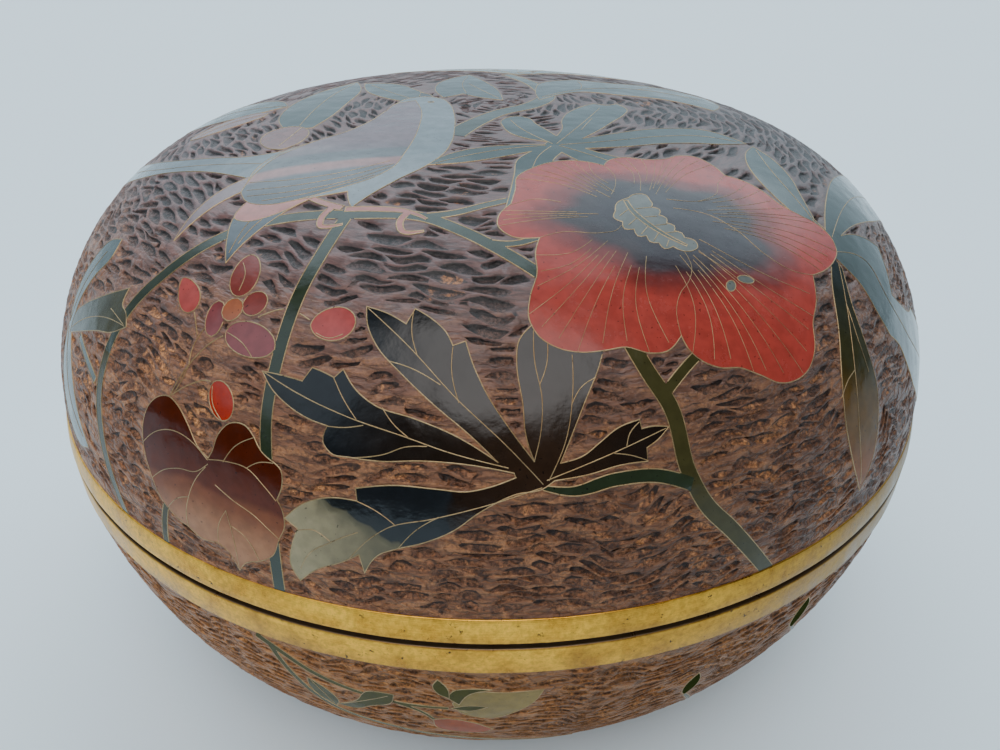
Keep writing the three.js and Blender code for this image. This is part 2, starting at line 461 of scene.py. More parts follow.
def right_leaf():
    pale = [
        (74, -57, 1), (72.7, -49), (72, -40), (69.4, -31), (66, -25.6, 1), (62.4, -32), (61, -41),
        (62.6, -49), (66.6, -56), (72, -60.5), (76, -66, 1), (78.4, -67.6), (85, -70.4),
        (92.6, -75.4), (98, -77.4, 1), (103, -76.6), (109, -77.8), (118, -78.4, 1), (123, -77),
        (132, -74, 1), (136, -60), (131, -50.4, 1), (121, -55.6), (114, -57.6, 1), (111.4, -61),
        (106, -63.4), (100, -64.4, 1), (99, -57.4), (97.4, -50.4, 1), (91, -52), (85.6, -54.8),
        (81.6, -58, 1), (87, -51), (94, -43.6), (102, -35.4), (109.6, -26), (121, -14, 1),
        (113, -4), (103, -8.6, 1), (95, -18.6), (87.4, -30.4), (82, -42), (78.4, -52),
        (76.6, -59, 1),
    ]
    veins = [
        [(76.4, -63), (72, -54), (67.6, -42), (66.2, -28)],
        [(77.6, -62), (84, -48.5), (93, -34), (104, -20.5), (113, -9)],
        [(78.6, -65), (90, -61.4), (97, -67.2), (108, -69.6), (126, -64)],
    ]
    dark = [
        (76.6, -67, 1), (75.3, -76), (76.6, -87), (78.8, -98), (82.4, -105.6), (89, -111.6),
        (98.5, -116, 1), (99.2, -108), (96.6, -99.6), (92.6, -92.6), (86.6, -86), (81.6, -78.6),
        (79.4, -69.5, 1),
    ]
    dark_veins = [
        [(78.4, -69), (79.6, -80), (82.4, -92), (88, -104), (97.4, -114.6)],
        [(79.4, -79), (83.4, -86), (88.4, -91.4)],
        [(82.8, -93.6), (80.6, -97), (79.4, -101)],
    ]
    return [
        leaf("right_leaf", "leaf_grey", pale, veins, along((77, -65), 60)),
        leaf("right_leaf", "leaf_turning", dark, dark_veins, along((77.5, -68), 48)),
    ]


def left_leaves():
    near = [
        (-82.4, -84.6, 1), (-88, -83.2), (-94.4, -79.4), (-101, -75.6), (-112, -68.6, 1),
        (-108, -66), (-101.6, -67.6), (-94.6, -70.4), (-82, -75, 1), (-84, -78.4), (-82.6, -81),
    ]
    far = [
        (-112, -64, 1), (-108, -58.4), (-102, -54.4), (-94.6, -52.8), (-88.6, -56.4, 1),
        (-91.4, -60.6), (-98, -61.6), (-105.4, -64), (-110.4, -68, 1), (-111.6, -80),
        (-112, -90), (-110.6, -101, 1), (-119, -96), (-123.6, -84), (-121.6, -73),
    ]
    far_veins = [[(-112, -65), (-104, -60), (-94, -56.6)], [(-113, -66), (-117, -82), (-113, -97)]]
    near_veins = [[(-83, -84.2), (-91, -77.8), (-100, -72.6), (-110, -68.4)],
                  [(-83.4, -83.6), (-86.4, -79.6), (-88.4, -77)]]
    return [leaf("left_leaves", "leaf_grey", far, far_veins),
            leaf("left_leaves", "leaf_moss", near, near_veins)]


def crown_leaves():
    """The leaves at the crown, each as its edge and its veins, and two faded buds."""
    leaves = [
        ([(-53, -22, 1), (-57, -12), (-57.4, 2), (-53, 18), (-43, 34, 1), (-39.6, 18), (-41, 2),
          (-43, -12), (-46, -22, 1)], [[(-50, -22), (-49, -4), (-47, 14), (-43.4, 31)]]),
        ([(-18, 0, 1), (-28, 5), (-36, 14), (-40, 30, 1), (-30, 27), (-22.6, 17), (-17.6, 8)],
         [[(-19, 2), (-28, 12), (-37.6, 27)]]),
        ([(-14.4, 8, 1), (-17.4, 18), (-16, 31), (-8, 43, 1), (-3, 31), (1, 19), (2.6, 5.4, 1),
          (-4, 8.6), (-9, 13, 1), (-11.4, 10.4)],
         [[(-8, 14), (-9.6, 26), (-8.4, 39)], [(1.4, 8), (-3.6, 18), (-7.6, 27)]]),
        ([(13, 6, 1), (12.4, 18), (15, 30), (26, 37, 1), (37, 34), (50, 35), (66, 28, 1), (67.4, 16),
          (63, 5.6, 1), (51, 12.4), (38, 14.8), (26, 17.4), (20, 14)],
         [[(14, 10), (28, 22), (44, 25.6), (62, 20)], [(26, 21), (27, 28), (26.4, 34)],
          [(44, 25.4), (48, 30), (50, 34)]]),
        ([(-58, 3, 1), (-62, 12), (-74, 20), (-96, 22, 1), (-92, 10), (-82, 2), (-70, -1)],
         [[(-59, 4), (-74, 10), (-93, 20)]]),
        ([(8, 44, 1), (-6, 52), (-24, 56), (-44, 70, 1), (-26, 78), (-4, 70), (10, 58), (14, 48, 1)],
         [[(10, 46), (-10, 62), (-40, 71)]]),
        ([(12, 46, 1), (24, 50), (44, 48), (68, 60, 1), (58, 72), (36, 74), (18, 62)],
         [[(14, 48), (36, 60), (64, 62)]]),
        ([(6, 46, 1), (0, 60), (-4, 80), (4, 104, 1), (18, 88), (18, 66)], [[(8, 48), (8, 72), (5, 100)]]),
    ]
    buds = [((-52, -27.5), (16, 12), -80, 0.15, [[(-49, -21), (-50.4, -28), (-52, -34)]]),
            ((-72, -6.5), (21, 10), 205, 0.1, [[(-63, -3), (-72, -5.6), (-80, -10)]])]
    part = "crown_leaves"
    return ([leaf(part, "leaf_grey", edge, veins) for edge, veins in leaves]
            + [oval(part, "faded_rose", *bud) for bud in buds])


def back_spray():
    """A plain spray of leaves and one bud on the far side, in the manner of the front's."""
    part = "back_spray"
    stalks = [([(-34, 157), (-30, 132), (-18, 112), (4, 98), (34, 92), (62, 98)], [3, 2.8, 2.4]),
              ([(-24, 121), (-42, 108), (-58, 102)], [2, 1.8]),
              ([(96, 124), (88, 108), (66, 97.4)], [2.6, 2.2])]
    # base, heading in degrees and length
    leaves = [((-56, 102), 160, 34), ((-50, 105), 215, 26), ((-44, 108), 100, 26), ((62, 97), 65, 30),
              ((70, 97), 15, 36), ((66, 96), -35, 28), ((10, 96.6), 112, 30), ((26, 92.4), -62, 22)]
    return ([stem(part, "stem_green", points, widths, "rear") for points, widths in stalks]
            + [plain_leaf(part, "leaf_grey", *facts) for facts in leaves]
            + [oval(part, "coral", (-27, 104), (15, 11), 140, 0.3)])


def plain_leaf(piece, enamel, base, turn, size):
    """A pointed leaf with a notch on each side, a midrib and two side veins."""
    forward, over = axes(turn)

    def at(s, w, *corner):
        return (*(np.array(base) + forward * s * size + over * w * size), *corner)

    edge = [at(0, 0, 1), at(0.2, 0.13), at(0.45, 0.21), at(0.6, 0.2, 1), at(0.66, 0.15, 1), at(0.82, 0.1),
            at(1, 0, 1), at(0.8, -0.11), at(0.62, -0.16, 1), at(0.56, -0.21, 1), at(0.4, -0.2),
            at(0.18, -0.12)]
    ribs = [[at(0.02, 0), at(0.5, 0.015), at(0.96, 0)], [at(0.3, 0.005), at(0.42, 0.09), at(0.58, 0.18)],
            [at(0.3, 0.005), at(0.4, -0.09), at(0.54, -0.18)]]
    return leaf(piece, enamel, edge, ribs)


FLOWER_HEART = np.array([31.0, -71.0])
FLOWER_EDGE = [
    (24.8, -50.2, 1), (21.5, -48.6), (17, -48.2), (12.6, -49.8), (8.4, -53.4), (5.2, -57.8),
    (4.6, -64), (3.6, -69.8, 1), (1.2, -73.8), (1, -77.4), (3.6, -80.4), (9.2, -80.6, 1),
    (8.3, -84.6), (8.5, -90), (7.1, -95.6), (6.9, -100.2), (8.8, -103.6), (12.4, -105.6),
    (17, -106.1), (21.4, -105.3), (25.6, -104.2), (30.2, -104.7), (33.8, -103.8),
    (36.8, -100.2, 1), (38.6, -102.8), (41.6, -104.4), (45.4, -104.8), (50, -103.8), (55, -104),
    (60, -104.2), (64.4, -102.4), (67.6, -99.2), (69.2, -94), (68.6, -88.6), (69.8, -83),
    (69.6, -76.2, 1), (73.2, -73.4), (76.8, -69), (78.6, -65), (77.8, -60.8), (74.6, -58.4),
    (69.6, -57.5), (65.2, -56), (61.8, -52.4), (58, -49.6), (53.2, -48.4, 1), (51, -43.6),
    (47.6, -40.2), (43.8, -40.6), (39.8, -43.6), (35, -45), (30.4, -44.6), (26.8, -46.4),
]
PETAL_SEAMS = [
    [(24.8, -50.2), (26.6, -55), (26.4, -59.4), (25, -64)],
    [(3.8, -70), (9, -67.6), (14, -68.4)],
    [(9.2, -80.6), (14, -78.5), (21, -78.1), (25, -76.6), (26.4, -74.2)],
    [(36.8, -100.2), (35.9, -95), (37, -90.8), (38.9, -87.8), (39.8, -84), (38.6, -80.2)],
    [(69.6, -76.2), (63, -77.4), (57, -75.2), (51.6, -70.4), (46, -67.2), (38, -66.8)],
    [(53.2, -48.4), (50.6, -53), (49.4, -57.6), (44, -62.6), (37, -63.6)],
]
# Where each petal's veins end: first and last outline point, vein count, reach of the dark heart
PETALS = [((5.4, -60), (23.6, -51), 7, 11), ((1.6, -78), (3.2, -71), 4, 12),
          ((9.4, -84), (35.6, -101), 11, 15), ((38.4, -102), (69.2, -80), 11, 15),
          ((71, -75), (56, -50), 11, 18), ((50.6, -45), (27.4, -48), 9, 12)]


def flower_veins(outline):
    """Fine wires that fan from the dark heart towards each petal's edge."""
    veins = []
    for first, last, count, reach in PETALS:
        i = int(np.argmin(np.linalg.norm(outline - first, axis=1)))
        j = int(np.argmin(np.linalg.norm(outline - last, axis=1)))
        span = (j - i) % len(outline)
        back = (i - j) % len(outline)
        way = 1 if span <= back else -1
        span = min(span, back)
        middle = outline[(i + way * span // 2) % len(outline)] - FLOWER_HEART
        for k in range(count):
            share = (k + 0.5) / count
            end = outline[(i + way * int(span * share)) % len(outline)]
            out = (end - FLOWER_HEART) / np.linalg.norm(end - FLOWER_HEART)
            lean = middle / np.linalg.norm(middle)
            start = FLOWER_HEART + (0.75 * out + 0.25 * lean) * (reach + 2.5 * math.sin(2.4 * k))
            bend = (start + end) / 2 + (lean - out) * 4
            tip = start + (end - start) * (0.93 if k % 3 else 0.99)
            veins.append([tuple(start), tuple(bend), tuple(tip)])
    return veins


def flower():
    runs = loop_runs(FLOWER_EDGE)
    outline = np.concatenate([r[:-1] for r in runs])
    bloom = Cell("flower", "petal_red", runs, heart_tone, vein_width=0.13)
    bloom.veins = [spline(s) for s in PETAL_SEAMS + flower_veins(outline)]
    scallops = [
        (28.6, -64.8, 1), (30, -63.2), (32.4, -62.8), (33.2, -64.8, 1), (33.6, -66), (33.2, -67.4, 1),
        (34.9, -68), (34.5, -70, 1), (36, -70.8), (35.8, -72.4, 1), (37.4, -73), (37.2, -74.6, 1),
        (38.8, -75), (39.2, -76.2, 1), (41.4, -76.6), (41.8, -78.2), (40.2, -79.8, 1), (38.4, -80.2),
        (36.4, -79.4, 1), (34.4, -80.4), (33.4, -79, 1), (31.6, -79), (31, -77.4, 1), (29.2, -77.8),
        (28.6, -75.8, 1), (26.6, -76), (26.4, -73.8, 1), (24.8, -73), (25.2, -70.4, 1), (25.8, -67.4),
    ]
    column = leaf("flower", "stamen", scallops, [
        [(27.9, -66.4), (28.9, -69.6), (31.4, -73.2), (35, -76.2), (39.8, -78.6)],
        [(30.6, -71.6), (33.8, -70.6)], [(32.6, -74), (35.8, -72.8)], [(29, -69), (33, -67.6)],
        [(34.6, -75.8), (37.6, -74.8)], [(30, -71.4), (27.6, -74.6)], [(32, -73.8), (30, -77)],
        [(34, -75.4), (32.4, -78.6)], [(36, -76.8), (35, -79.6)], [(28.6, -68.6), (26, -71.8)],
    ])
    rib = stem("flower", "stem_green", [(27.9, -66), (28.9, -69.6), (31.4, -73.2), (35, -76.2),
               (39.4, -78.4)], [0.9, 1.3, 1.0, 0.5], "rib")
    bloom.veins.append(spline([(41, -79.2), (45, -81.4), (49.6, -84.2)]))
    return [bloom, column, rib, oval("flower", "stamen", (51.8, -84), (4, 1.9), 10),
            oval("flower", "stamen", (48.2, -86.6), (3, 2), 62)]


def heart_tone(xy):
    """0 in the flower's dark heart and 1 in its red, with a feathered edge between."""
    away = (xy - FLOWER_HEART - (5.5, -0.5)) / (1.5, 1.0)
    turn = np.arctan2(away[:, 1], away[:, 0])
    reach = np.hypot(away[:, 0], away[:, 1]) + 1.2 * np.sin(5 * turn + 0.6) + 0.7 * np.sin(11 * turn)
    return np.clip((reach - 9.5) / 11.5, 0, 1)


def blossom():
    """The small flower and its buds: enamel, centre, size, turn, how pointed, and veins."""
    petals = [
        ("crimson", (-50.2, -84.4), (9.6, 6.6), 82, 0.1, [[(-51, -81), (-50.2, -84), (-51.2, -87.6)]]),
        ("crimson", (-47.4, -91.6), (5.6, 5.2), 0),
        ("plum", (-56.6, -92.4), (7.6, 4.6), 78),
        ("plum", (-48.4, -99), (12.4, 6.6), -30, 0.05, [[(-53.4, -96.4), (-50, -99.4), (-47.8, -102.8)]]),
        ("orange", (-52.5, -91.6), (5, 4.8), 0),
        ("coral", (-63.6, -85), (8.4, 5.2), 112, 0.35),
        ("coral", (-30.4, -99.2), (8.6, 6.8), 175, 0.12, [[(-34, -100.6), (-31.4, -102), (-28.6, -101.6)]]),
        ("vermilion", (-55.8, -109.5), (8.2, 5.8), 108, 0.05,
         [[(-57.6, -106.2), (-58, -109.4), (-56.4, -113)]]),
    ]
    return [oval("blossom", *petal) for petal in petals]


# The blossom's stalks, each a bare wire
STALKS = [
    [(-62, -88.6), (-61.4, -92), (-61, -94.6)],
    [(-63.4, -100.2), (-62.2, -97), (-58.4, -93.2)],
    [(-69.6, -104.8), (-63.4, -100.2), (-57, -97.2), (-53.6, -96.6)],
    [(-46.4, -94.8), (-41, -94.3), (-34.8, -98.2)],
    [(-69, -104.8), (-63.4, -104.2), (-58.6, -104.8), (-56.6, -106.2)],
    [(-63.4, -100.2), (-66, -103), (-68.6, -104.8)],
]


def bird():
    part = "bird"
    tail = [
        (-50, -38, 1), (-58, -38.4), (-68, -34.6), (-80, -28), (-91, -19), (-103, -6),
        (-114, 4, 1), (-112, -6), (-104, -15.4), (-93, -26), (-80, -34.6), (-68, -42),
        (-58, -49), (-51, -54, 1),
    ]
    tail_pink = [(-54, -49.6, 1), (-61, -53.4), (-66.4, -59.4), (-70.2, -67.4, 1), (-66.4, -63.6),
                 (-60.4, -58.8), (-53, -55.4, 1)]
    rump = [(-53, -61, 1), (-55.6, -66), (-56, -73), (-55.2, -79.6, 1), (-52, -75.6), (-47.6, -71.2),
            (-43, -67), (-38.6, -64, 1), (-46, -62)]
    rump_veins = [[(-50, -66), (-52.6, -71), (-54.8, -77)], [(-46, -66.6), (-50, -70.4), (-53, -75)]]
    rump_pink = [(-53.4, -61, 1), (-55.4, -66.4), (-52, -68.6), (-46.6, -68.2), (-43, -66.8, 1),
                 (-38.6, -64, 1), (-46, -62)]
    body = [
        (-29.4, -69.2, 1), (-26.6, -65.6), (-20.4, -58.4), (-15, -52), (-11.6, -45), (-10, -36),
        (-9.8, -24), (-10.6, -10), (-12.2, 0), (-15, 6.6), (-19.6, 8.8), (-24, 6.8), (-27, 0.6),
        (-29, -8), (-32.2, -19), (-37, -27.4), (-43, -33), (-50, -38.6), (-54.4, -46), (-54.8, -56),
        (-50, -63), (-40, -63.8), (-31, -62.6, 1), (-30.4, -66),
    ]
    wing = [
        (-22, 4, 1), (-19.4, -8), (-18.8, -22), (-19.6, -38), (-20.8, -46, 1), (-22.4, -52.4), (-26, -57),
        (-32, -60.6), (-40, -63.4), (-48, -64), (-53.4, -61.4), (-56, -56.6, 1), (-54.4, -49),
        (-50.6, -40.6, 1), (-43, -33), (-37, -27.4), (-32.2, -19), (-29, -8), (-26.4, 1),
    ]
    quills = [
        [(-22.4, -50.4), (-32, -55.6), (-42, -57.6), (-54.6, -56.4)],
        [(-22.8, -52), (-31, -57.6), (-41, -60), (-54, -59)],
        [(-23.4, -48.6), (-33, -53.4), (-44, -54.8), (-54.6, -53)],
        [(-26, -56), (-33, -59.6), (-41, -61.9), (-50, -62)],
    ]
    beak = [(-17.4, 8.4, 1), (-18.4, 11.4), (-21.4, 14.4, 1), (-21.4, 11), (-21.4, 8.2, 1)]
    return [
        leaf(part, "bird_tail", tail, [[(-54, -44), (-68, -38.4), (-84, -29.6), (-100, -14)]]),
        leaf(part, "bird_mauve", tail_pink),
        leaf(part, "bird_slate", rump, rump_veins),
        leaf(part, "salmon", rump_pink),
        leaf(part, "leaf_dark", beak),
        leaf(part, "bird_pale", body),
        Cell(part, "bird_wing", loop_runs(wing), wing_tone, quills, vein_width=0.17),
        oval(part, "leaf_dark", (-17.6, 2.4), (1.8, 1.7), 0),
    ] + bird_feet(part)


def wing_tone(xy):
    """Bands across the folded wing, from the back's edge to the quills."""
    return np.clip((-34 - xy[:, 1] + 0.1 * (xy[:, 0] + 35)) / 30, 0, 1)


def bird_feet(part):
    toes = [([(-38.6, -64), (-35, -66.8), (-31.4, -69)], [1.4, 1.7]),
            ([(-33.6, -68.6), (-35.4, -72), (-35.4, -74), (-30.6, -74.6)], [1.5, 1.3, 0.5]),
            ([(-30.6, -69.6), (-24, -70.4), (-17, -72.2), (-13.4, -74.8)], [1.6, 1.7, 0.6]),
            ([(-17.4, -72.4), (-18.8, -75.6), (-18, -78.4), (-13.8, -78.6)], [1.5, 1.3, 0.5])]
    return [stem(part, "salmon", points, widths, "foot") for points, widths in toes]


def lid_cells():
    return (stems() + upper_leaf() + right_leaf() + left_leaves() + crown_leaves() + back_spray()
            + blossom() + brown_leaf() + front_leaf() + flower() + bird())


# ---------------------------------------------------------------- the picture on the bowl


def bowl_map(points):
    """Map points for places given as arc along the rim from the front, and depth below the band."""
    out = []
    for arc, drop, *corner in points:
        turn, rho = arc / BOX_RADIUS, BOWL.size - drop
        out.append((rho * math.sin(turn), -rho * math.cos(turn), *corner))
    return out


def bowl_leaf(enamel, points, veins=()):
    return leaf("bowl_leaves", enamel, bowl_map(points), [bowl_map(v) for v in veins])


def bowl_stem(points, widths):
    return stem("bowl_leaves", "bowl_olive", bowl_map(points), widths, "bowl")


def bowl_spray(shift, fold=1):
    """A spear-shaped bud with its sepals, a second bud, leaves and stems, at a place round the bowl."""

    def move(points):
        return [(shift + fold * arc, *rest) for arc, *rest in points]

    stalks = [
        ([(-50, 0.6), (-45, 4), (-38, 9.4), (-30, 13), (-20, 15.4), (-9, 15.6)], [2, 1.8, 1.2, 1]),
        ([(-47, 3), (-44, 14), (-38, 26), (-22, 34), (0, 40), (22, 46)], [1.8, 1.8, 2.2, 2]),
        ([(-20, 15.6), (-15, 19), (-12.6, 23)], [1.2, 1]),
    ]
    leaves = [
        ("bowl_olive", [(-40.4, 12.6, 1), (-36.6, 16.4), (-35, 21), (-36.4, 25.6, 1), (-39.4, 22), (-41, 17)],
         [[(-39.9, 13.6), (-38, 19), (-36.8, 24)]]),
        ("bowl_olive", [(-36, 24, 1), (-30, 18.4), (-26.6, 12.4), (-20.6, 11.6, 1), (-21.6, 16), (-27, 20),
                        (-31, 23.6)], [[(-34, 22.6), (-28, 17.6), (-22, 12.8)]]),
        ("bowl_khaki", [(-8, 13, 1), (-6, 9.4), (-2.6, 7.4), (3, 7.6), (11, 6.8, 1), (9, 12.6), (5.4, 17),
                        (0.6, 20.2), (-4, 19.4, 1), (-7, 16.6)], []),
        ("bowl_olive", [(-9, 10.4, 1), (-7.4, 7.2), (-4, 6.2), (0.4, 6.4, 1), (-4.4, 8.6),
                        (-6.6, 13.4, 1)], []),
        ("bowl_olive", [(-8.4, 15.6, 1), (-5, 13.9), (-0.6, 14.2, 1), (-4.2, 16.4)], []),
        ("bowl_olive", [(-10.6, 3.2, 1), (-8.8, 6.4), (-8.6, 10.6, 1), (-11, 8.6), (-11.8, 6)], []),
        ("bowl_orange", [(-12.8, 23, 1), (-9, 21.8), (-4.6, 23.2), (0.6, 28, 1), (-1.8, 31), (-7, 31.4),
                         (-12, 29.4)], []),
    ]
    return ([bowl_stem(move(points), widths) for points, widths in stalks]
            + [bowl_leaf(enamel, move(edge), [move(v) for v in veins]) for enamel, edge, veins in leaves])


def right_sprigs():
    """Two small dark leaves to the right of the spray, each on a short stem."""
    leaves = [[(48, 15, 1), (46.2, 19), (46.4, 24), (48.4, 28, 1), (49.8, 24), (49.6, 19)],
              [(76.4, 3.6, 1), (74.6, 8), (75.4, 14), (78.6, 18, 1), (79.4, 13), (78.6, 7.4)]]
    return [*(bowl_leaf("bowl_dark", edge) for edge in leaves),
            bowl_stem([(48.4, 27.6), (54, 38), (58, 52)], [1.0, 1.4, 1.2]),
            bowl_stem([(78.4, 17.6), (86, 28), (92, 44)], [1.0, 1.4, 1])]


BACK_SPRAY_ARC = 262  # the spray is repeated this far round the bowl on each side, mm


def bowl_cells():
    return bowl_spray(0) + right_sprigs() + bowl_spray(BACK_SPRAY_ARC) + bowl_spray(-BACK_SPRAY_ARC, -1)


# ---------------------------------------------------------------- the bark ground


class Drift:
    """A smooth random field over the flat map, from about -1 to 1."""

    TILE = 128  # swings before the field repeats

    def __init__(self, seed, size):
        rng = random.Random(seed)
        self.size = size  # mm between the field's swings
        turns = [rng.uniform(0, 2 * math.pi) for _ in range(self.TILE**2)]
        self.turns = np.reshape(turns, (self.TILE, self.TILE))

    def at(self, xy):
        x, y = xy[:, 0] / self.size, xy[:, 1] / self.size
        i, j = np.floor(x).astype(int), np.floor(y).astype(int)
        fx, fy = x - i, y - j
        blend_x, blend_y = (f**3 * (f * (f * 6 - 15) + 10) for f in (fx, fy))

        def corner(di, dj):
            turn = self.turns[(i + di) % self.TILE, (j + dj) % self.TILE]
            return np.cos(turn) * (fx - di) + np.sin(turn) * (fy - dj)

        low = corner(0, 0) * (1 - blend_x) + corner(1, 0) * blend_x
        high = corner(0, 1) * (1 - blend_x) + corner(1, 1) * blend_x
        return 1.5 * (low * (1 - blend_y) + high * blend_y)


class Bark:
    """Lens-shaped pits in staggered rows along the parallels, kept clear of the wires."""

    SIDES = 16  # points round a pit's rim
    STRETCH = 4.2  # how many times longer than wide a cell is along its row
    EDGE_GAP = 0.42  # smooth margin beside a wire or a band, mm
    LENS = (1.2, 1.16, 2.3)  # a pit's reach along and across its cell, and how sharp its ends are
    SOFTNESS = 8  # how squarely a pit's rim follows its cell's walls
    SMALLEST = (0.65, 0.25)  # the longest and the middling reach of the least pit that is kept, mm

    def __init__(self, low, high, fade, rows, lengths, seed, swirls=()):
        """Rows from low to high on the map. Rows' pitches and pits' lengths change over the fade."""
        self.rng = random.Random(seed)
        self.low, self.high, self.swirls = low, high, swirls
        self.fade, self.rows, self.lengths = fade, rows, lengths
        angle = np.arange(self.SIDES) * 2 * math.pi / self.SIDES
        self.angle, self.ray = angle, np.column_stack([np.cos(angle), np.sin(angle)])
        self.drifts = [(Drift(seed + 1, 7.5), 1.25), (Drift(seed + 2, 3.6), 0.3)]
        self.waves = [
            (self.rng.uniform(0.05, 0.2) if i % 2 else self.rng.uniform(0.3, 0.6),
             self.rng.uniform(0, 6.3), self.rng.uniform(0, 6.3), self.rng.uniform(0.6, 1.3))
            for i in range(16)
        ]

    def bend(self, xy):
        """Drifts and whorls, so that the rows wander like wood grain."""
        out = xy.copy()
        upward = xy / np.maximum(np.hypot(xy[:, 0], xy[:, 1]), 12)[:, None]
        for drift, amount in self.drifts:
            out += amount * drift.at(xy)[:, None] * upward
        for pitch, heading, phase, amount in self.waves:
            cross = np.array([-math.sin(heading), math.cos(heading)])
            wave = np.sin(pitch * (xy @ [math.cos(heading), math.sin(heading)]) + phase)
            out += amount * 0.12 / pitch * wave[:, None] * cross
        for centre, reach, angle in self.swirls:
            away = out - centre
            turn = math.radians(angle) * np.exp(-(away**2).sum(axis=1) / (2 * reach**2))
            c, s = np.cos(turn), np.sin(turn)
            spun = np.column_stack([away[:, 0] * c - away[:, 1] * s, away[:, 0] * s + away[:, 1] * c])
            out = np.asarray(centre) + spun
        return out

    def seeds(self):
        """The middles of the pits, staggered from row to row."""
        spots, rho, start, count = [], self.low + 1.0, 0.0, 0
        while rho < self.high + 3:  # the last rows only bound the pits beside the band
            pitch = float(np.interp(rho, self.fade, self.rows))
            ideal = 2 * math.pi * rho / (pitch * float(np.interp(rho, self.fade, self.lengths)))
            if not 0.87 * ideal < count < 1.13 * ideal:
                count = max(3, int(round(ideal)))
            start += 0.5 + self.rng.uniform(-0.08, 0.08)
            for i in range(count):
                turn = 2 * math.pi * (i + start + self.rng.uniform(-0.2, 0.2)) / count
                r = rho + self.rng.uniform(-0.3, 0.3) * pitch
                spots.append((r * math.cos(turn), r * math.sin(turn)))
            rho += pitch
        return np.array(spots)

    def neighbours(self, spots):
        """The seeds that share a cell wall, with length along the rows counted for less."""
        turn = np.arctan2(spots[:, 1], spots[:, 0])
        rho = np.hypot(spots[:, 0], spots[:, 1])
        flat = np.column_stack([turn / self.STRETCH, np.log(rho)])
        wrap = 2 * math.pi / self.STRETCH
        copies = np.concatenate([flat, flat + (wrap, 0), flat - (wrap, 0)])
        origin = np.tile(np.arange(len(spots)), 3)
        edges = delaunay_2d_cdt([Vector(p) for p in copies], [], [], 0, 1e-9, True)
        found = [set() for _ in spots]
        for a, b in edges[1]:
            first = [origin[i] for i in edges[3][a]]
            second = [origin[i] for i in edges[3][b]]
            if first and second and first[0] != second[0]:
                found[first[0]].add(second[0])
                found[second[0]].add(first[0])
        return found

    def pit_rims(self):
        """Each pit as its middle and the points of its rim, before bending."""
        spots = self.seeds()
        near = self.neighbours(spots)
        pits = []
        for i, spot in enumerate(spots):
            gone = np.interp(np.linalg.norm(spot), self.fade, [0.01, 0.06])
            if self.rng.random() < gone or not near[i] or np.linalg.norm(spot) > self.high:
                continue
            out = spot / np.linalg.norm(spot)
            side = np.array([-out[1], out[0]])
            gap = spots[list(near[i])] - spot
            flat_rim = self.lens(np.column_stack([gap @ side / self.STRETCH, gap @ out]))
            rim = (flat_rim[:, :1] * self.STRETCH) * side + flat_rim[:, 1:] * out
            pits.append((spot, spot + rim))
        return pits

    def lens(self, apart):
        """The rim of a pit with neighbours at these places, all with length counted for less."""
        length = np.linalg.norm(apart, axis=1)
        unit = apart / length[:, None]
        ridge = self.rng.uniform(0.04, 0.17)
        wall = length / 2 - ridge * np.hypot(unit[:, 0] / self.STRETCH, unit[:, 1])
        wall = np.maximum(wall, 0.15)
        span = self.cell_reach(self.ray, unit, wall)
        right, top, left, foot = span[:: self.SIDES // 4]
        x, y = self.ray.T
        long, wide, point = self.LENS
        ends = long * np.where(x >= 0, right, left)
        sides = wide * np.where(y >= 0, top, foot) * self.rng.uniform(0.86, 1.0)
        rim = np.column_stack([x * ends, np.sign(np.round(y, 9)) * sides * (1 - np.abs(x) ** point)])
        size = np.linalg.norm(rim, axis=1)
        heading = rim / size[:, None]
        walls = self.cell_reach(heading, unit, wall)
        reach = (size**-self.SOFTNESS + walls**-self.SOFTNESS) ** (-1 / self.SOFTNESS)
        for k in (3, 4):
            reach = reach * (1 + 0.05 * np.sin(k * self.angle + self.rng.uniform(0, 6.3)))
        return heading * reach[:, None]

    def cell_reach(self, rays, unit, wall):
        """How far a cell reaches along each ray before it meets a neighbour's."""
        lean = np.maximum(rays @ unit.T, 1e-3)
        return ((wall[None] / lean) ** -float(self.SOFTNESS)).sum(axis=1) ** (-1 / self.SOFTNESS)

    def pits(self, cells, tree):
        """Middle, rim points and depth of each pit, bent and kept clear of the picture."""
        raw = self.pit_rims()
        middles = self.bend(np.array([m for m, _ in raw]))
        rims = self.bend(np.concatenate([r for _, r in raw])).reshape(len(raw), self.SIDES, 2)
        shares = np.array([0.0, 0.4, 0.75, 1.0])  # a pit is tried for room at these shares of its reach
        out = rims - middles[:, None]
        trials = middles[:, None, None] + out[:, None] * shares[None, :, None, None]
        flat = trials.reshape(-1, 2)
        hidden = np.zeros(len(flat), bool)
        for cell in cells:
            hidden |= inside(flat, cell.polygon)
        room = np.where(hidden, 0, self.room(tree, flat)).reshape(len(raw), -1)
        flat = flat.reshape(len(raw), -1, 2)
        kept = []
        for i, (middle, rim) in enumerate(zip(middles, rims)):
            depth = self.rng.uniform(0.5, 1.0) * np.interp(np.linalg.norm(middle), self.fade, [1, 0.6])
            if room[i].max() < self.EDGE_GAP * 1.15:
                continue
            if room[i].min() < self.EDGE_GAP:
                if room[i, 0] < self.EDGE_GAP * 1.8:
                    middle = flat[i, int(np.argmax(room[i]))]
                rim = self.cut_back(tree, middle, rim)
            spread = np.linalg.norm(rim - middle, axis=1)
            if spread.max() > self.SMALLEST[0] and np.median(spread) > self.SMALLEST[1]:
                kept.append((middle, rim, depth))
        return kept

    def room(self, tree, points):
        """Distance to the nearest wire or band, or to the foot where there is one."""
        rho = np.hypot(points[:, 0], points[:, 1])
        room = np.minimum([clearance(tree, p) for p in points], self.high - rho)
        return np.minimum(room, rho - self.low) if self.low else room

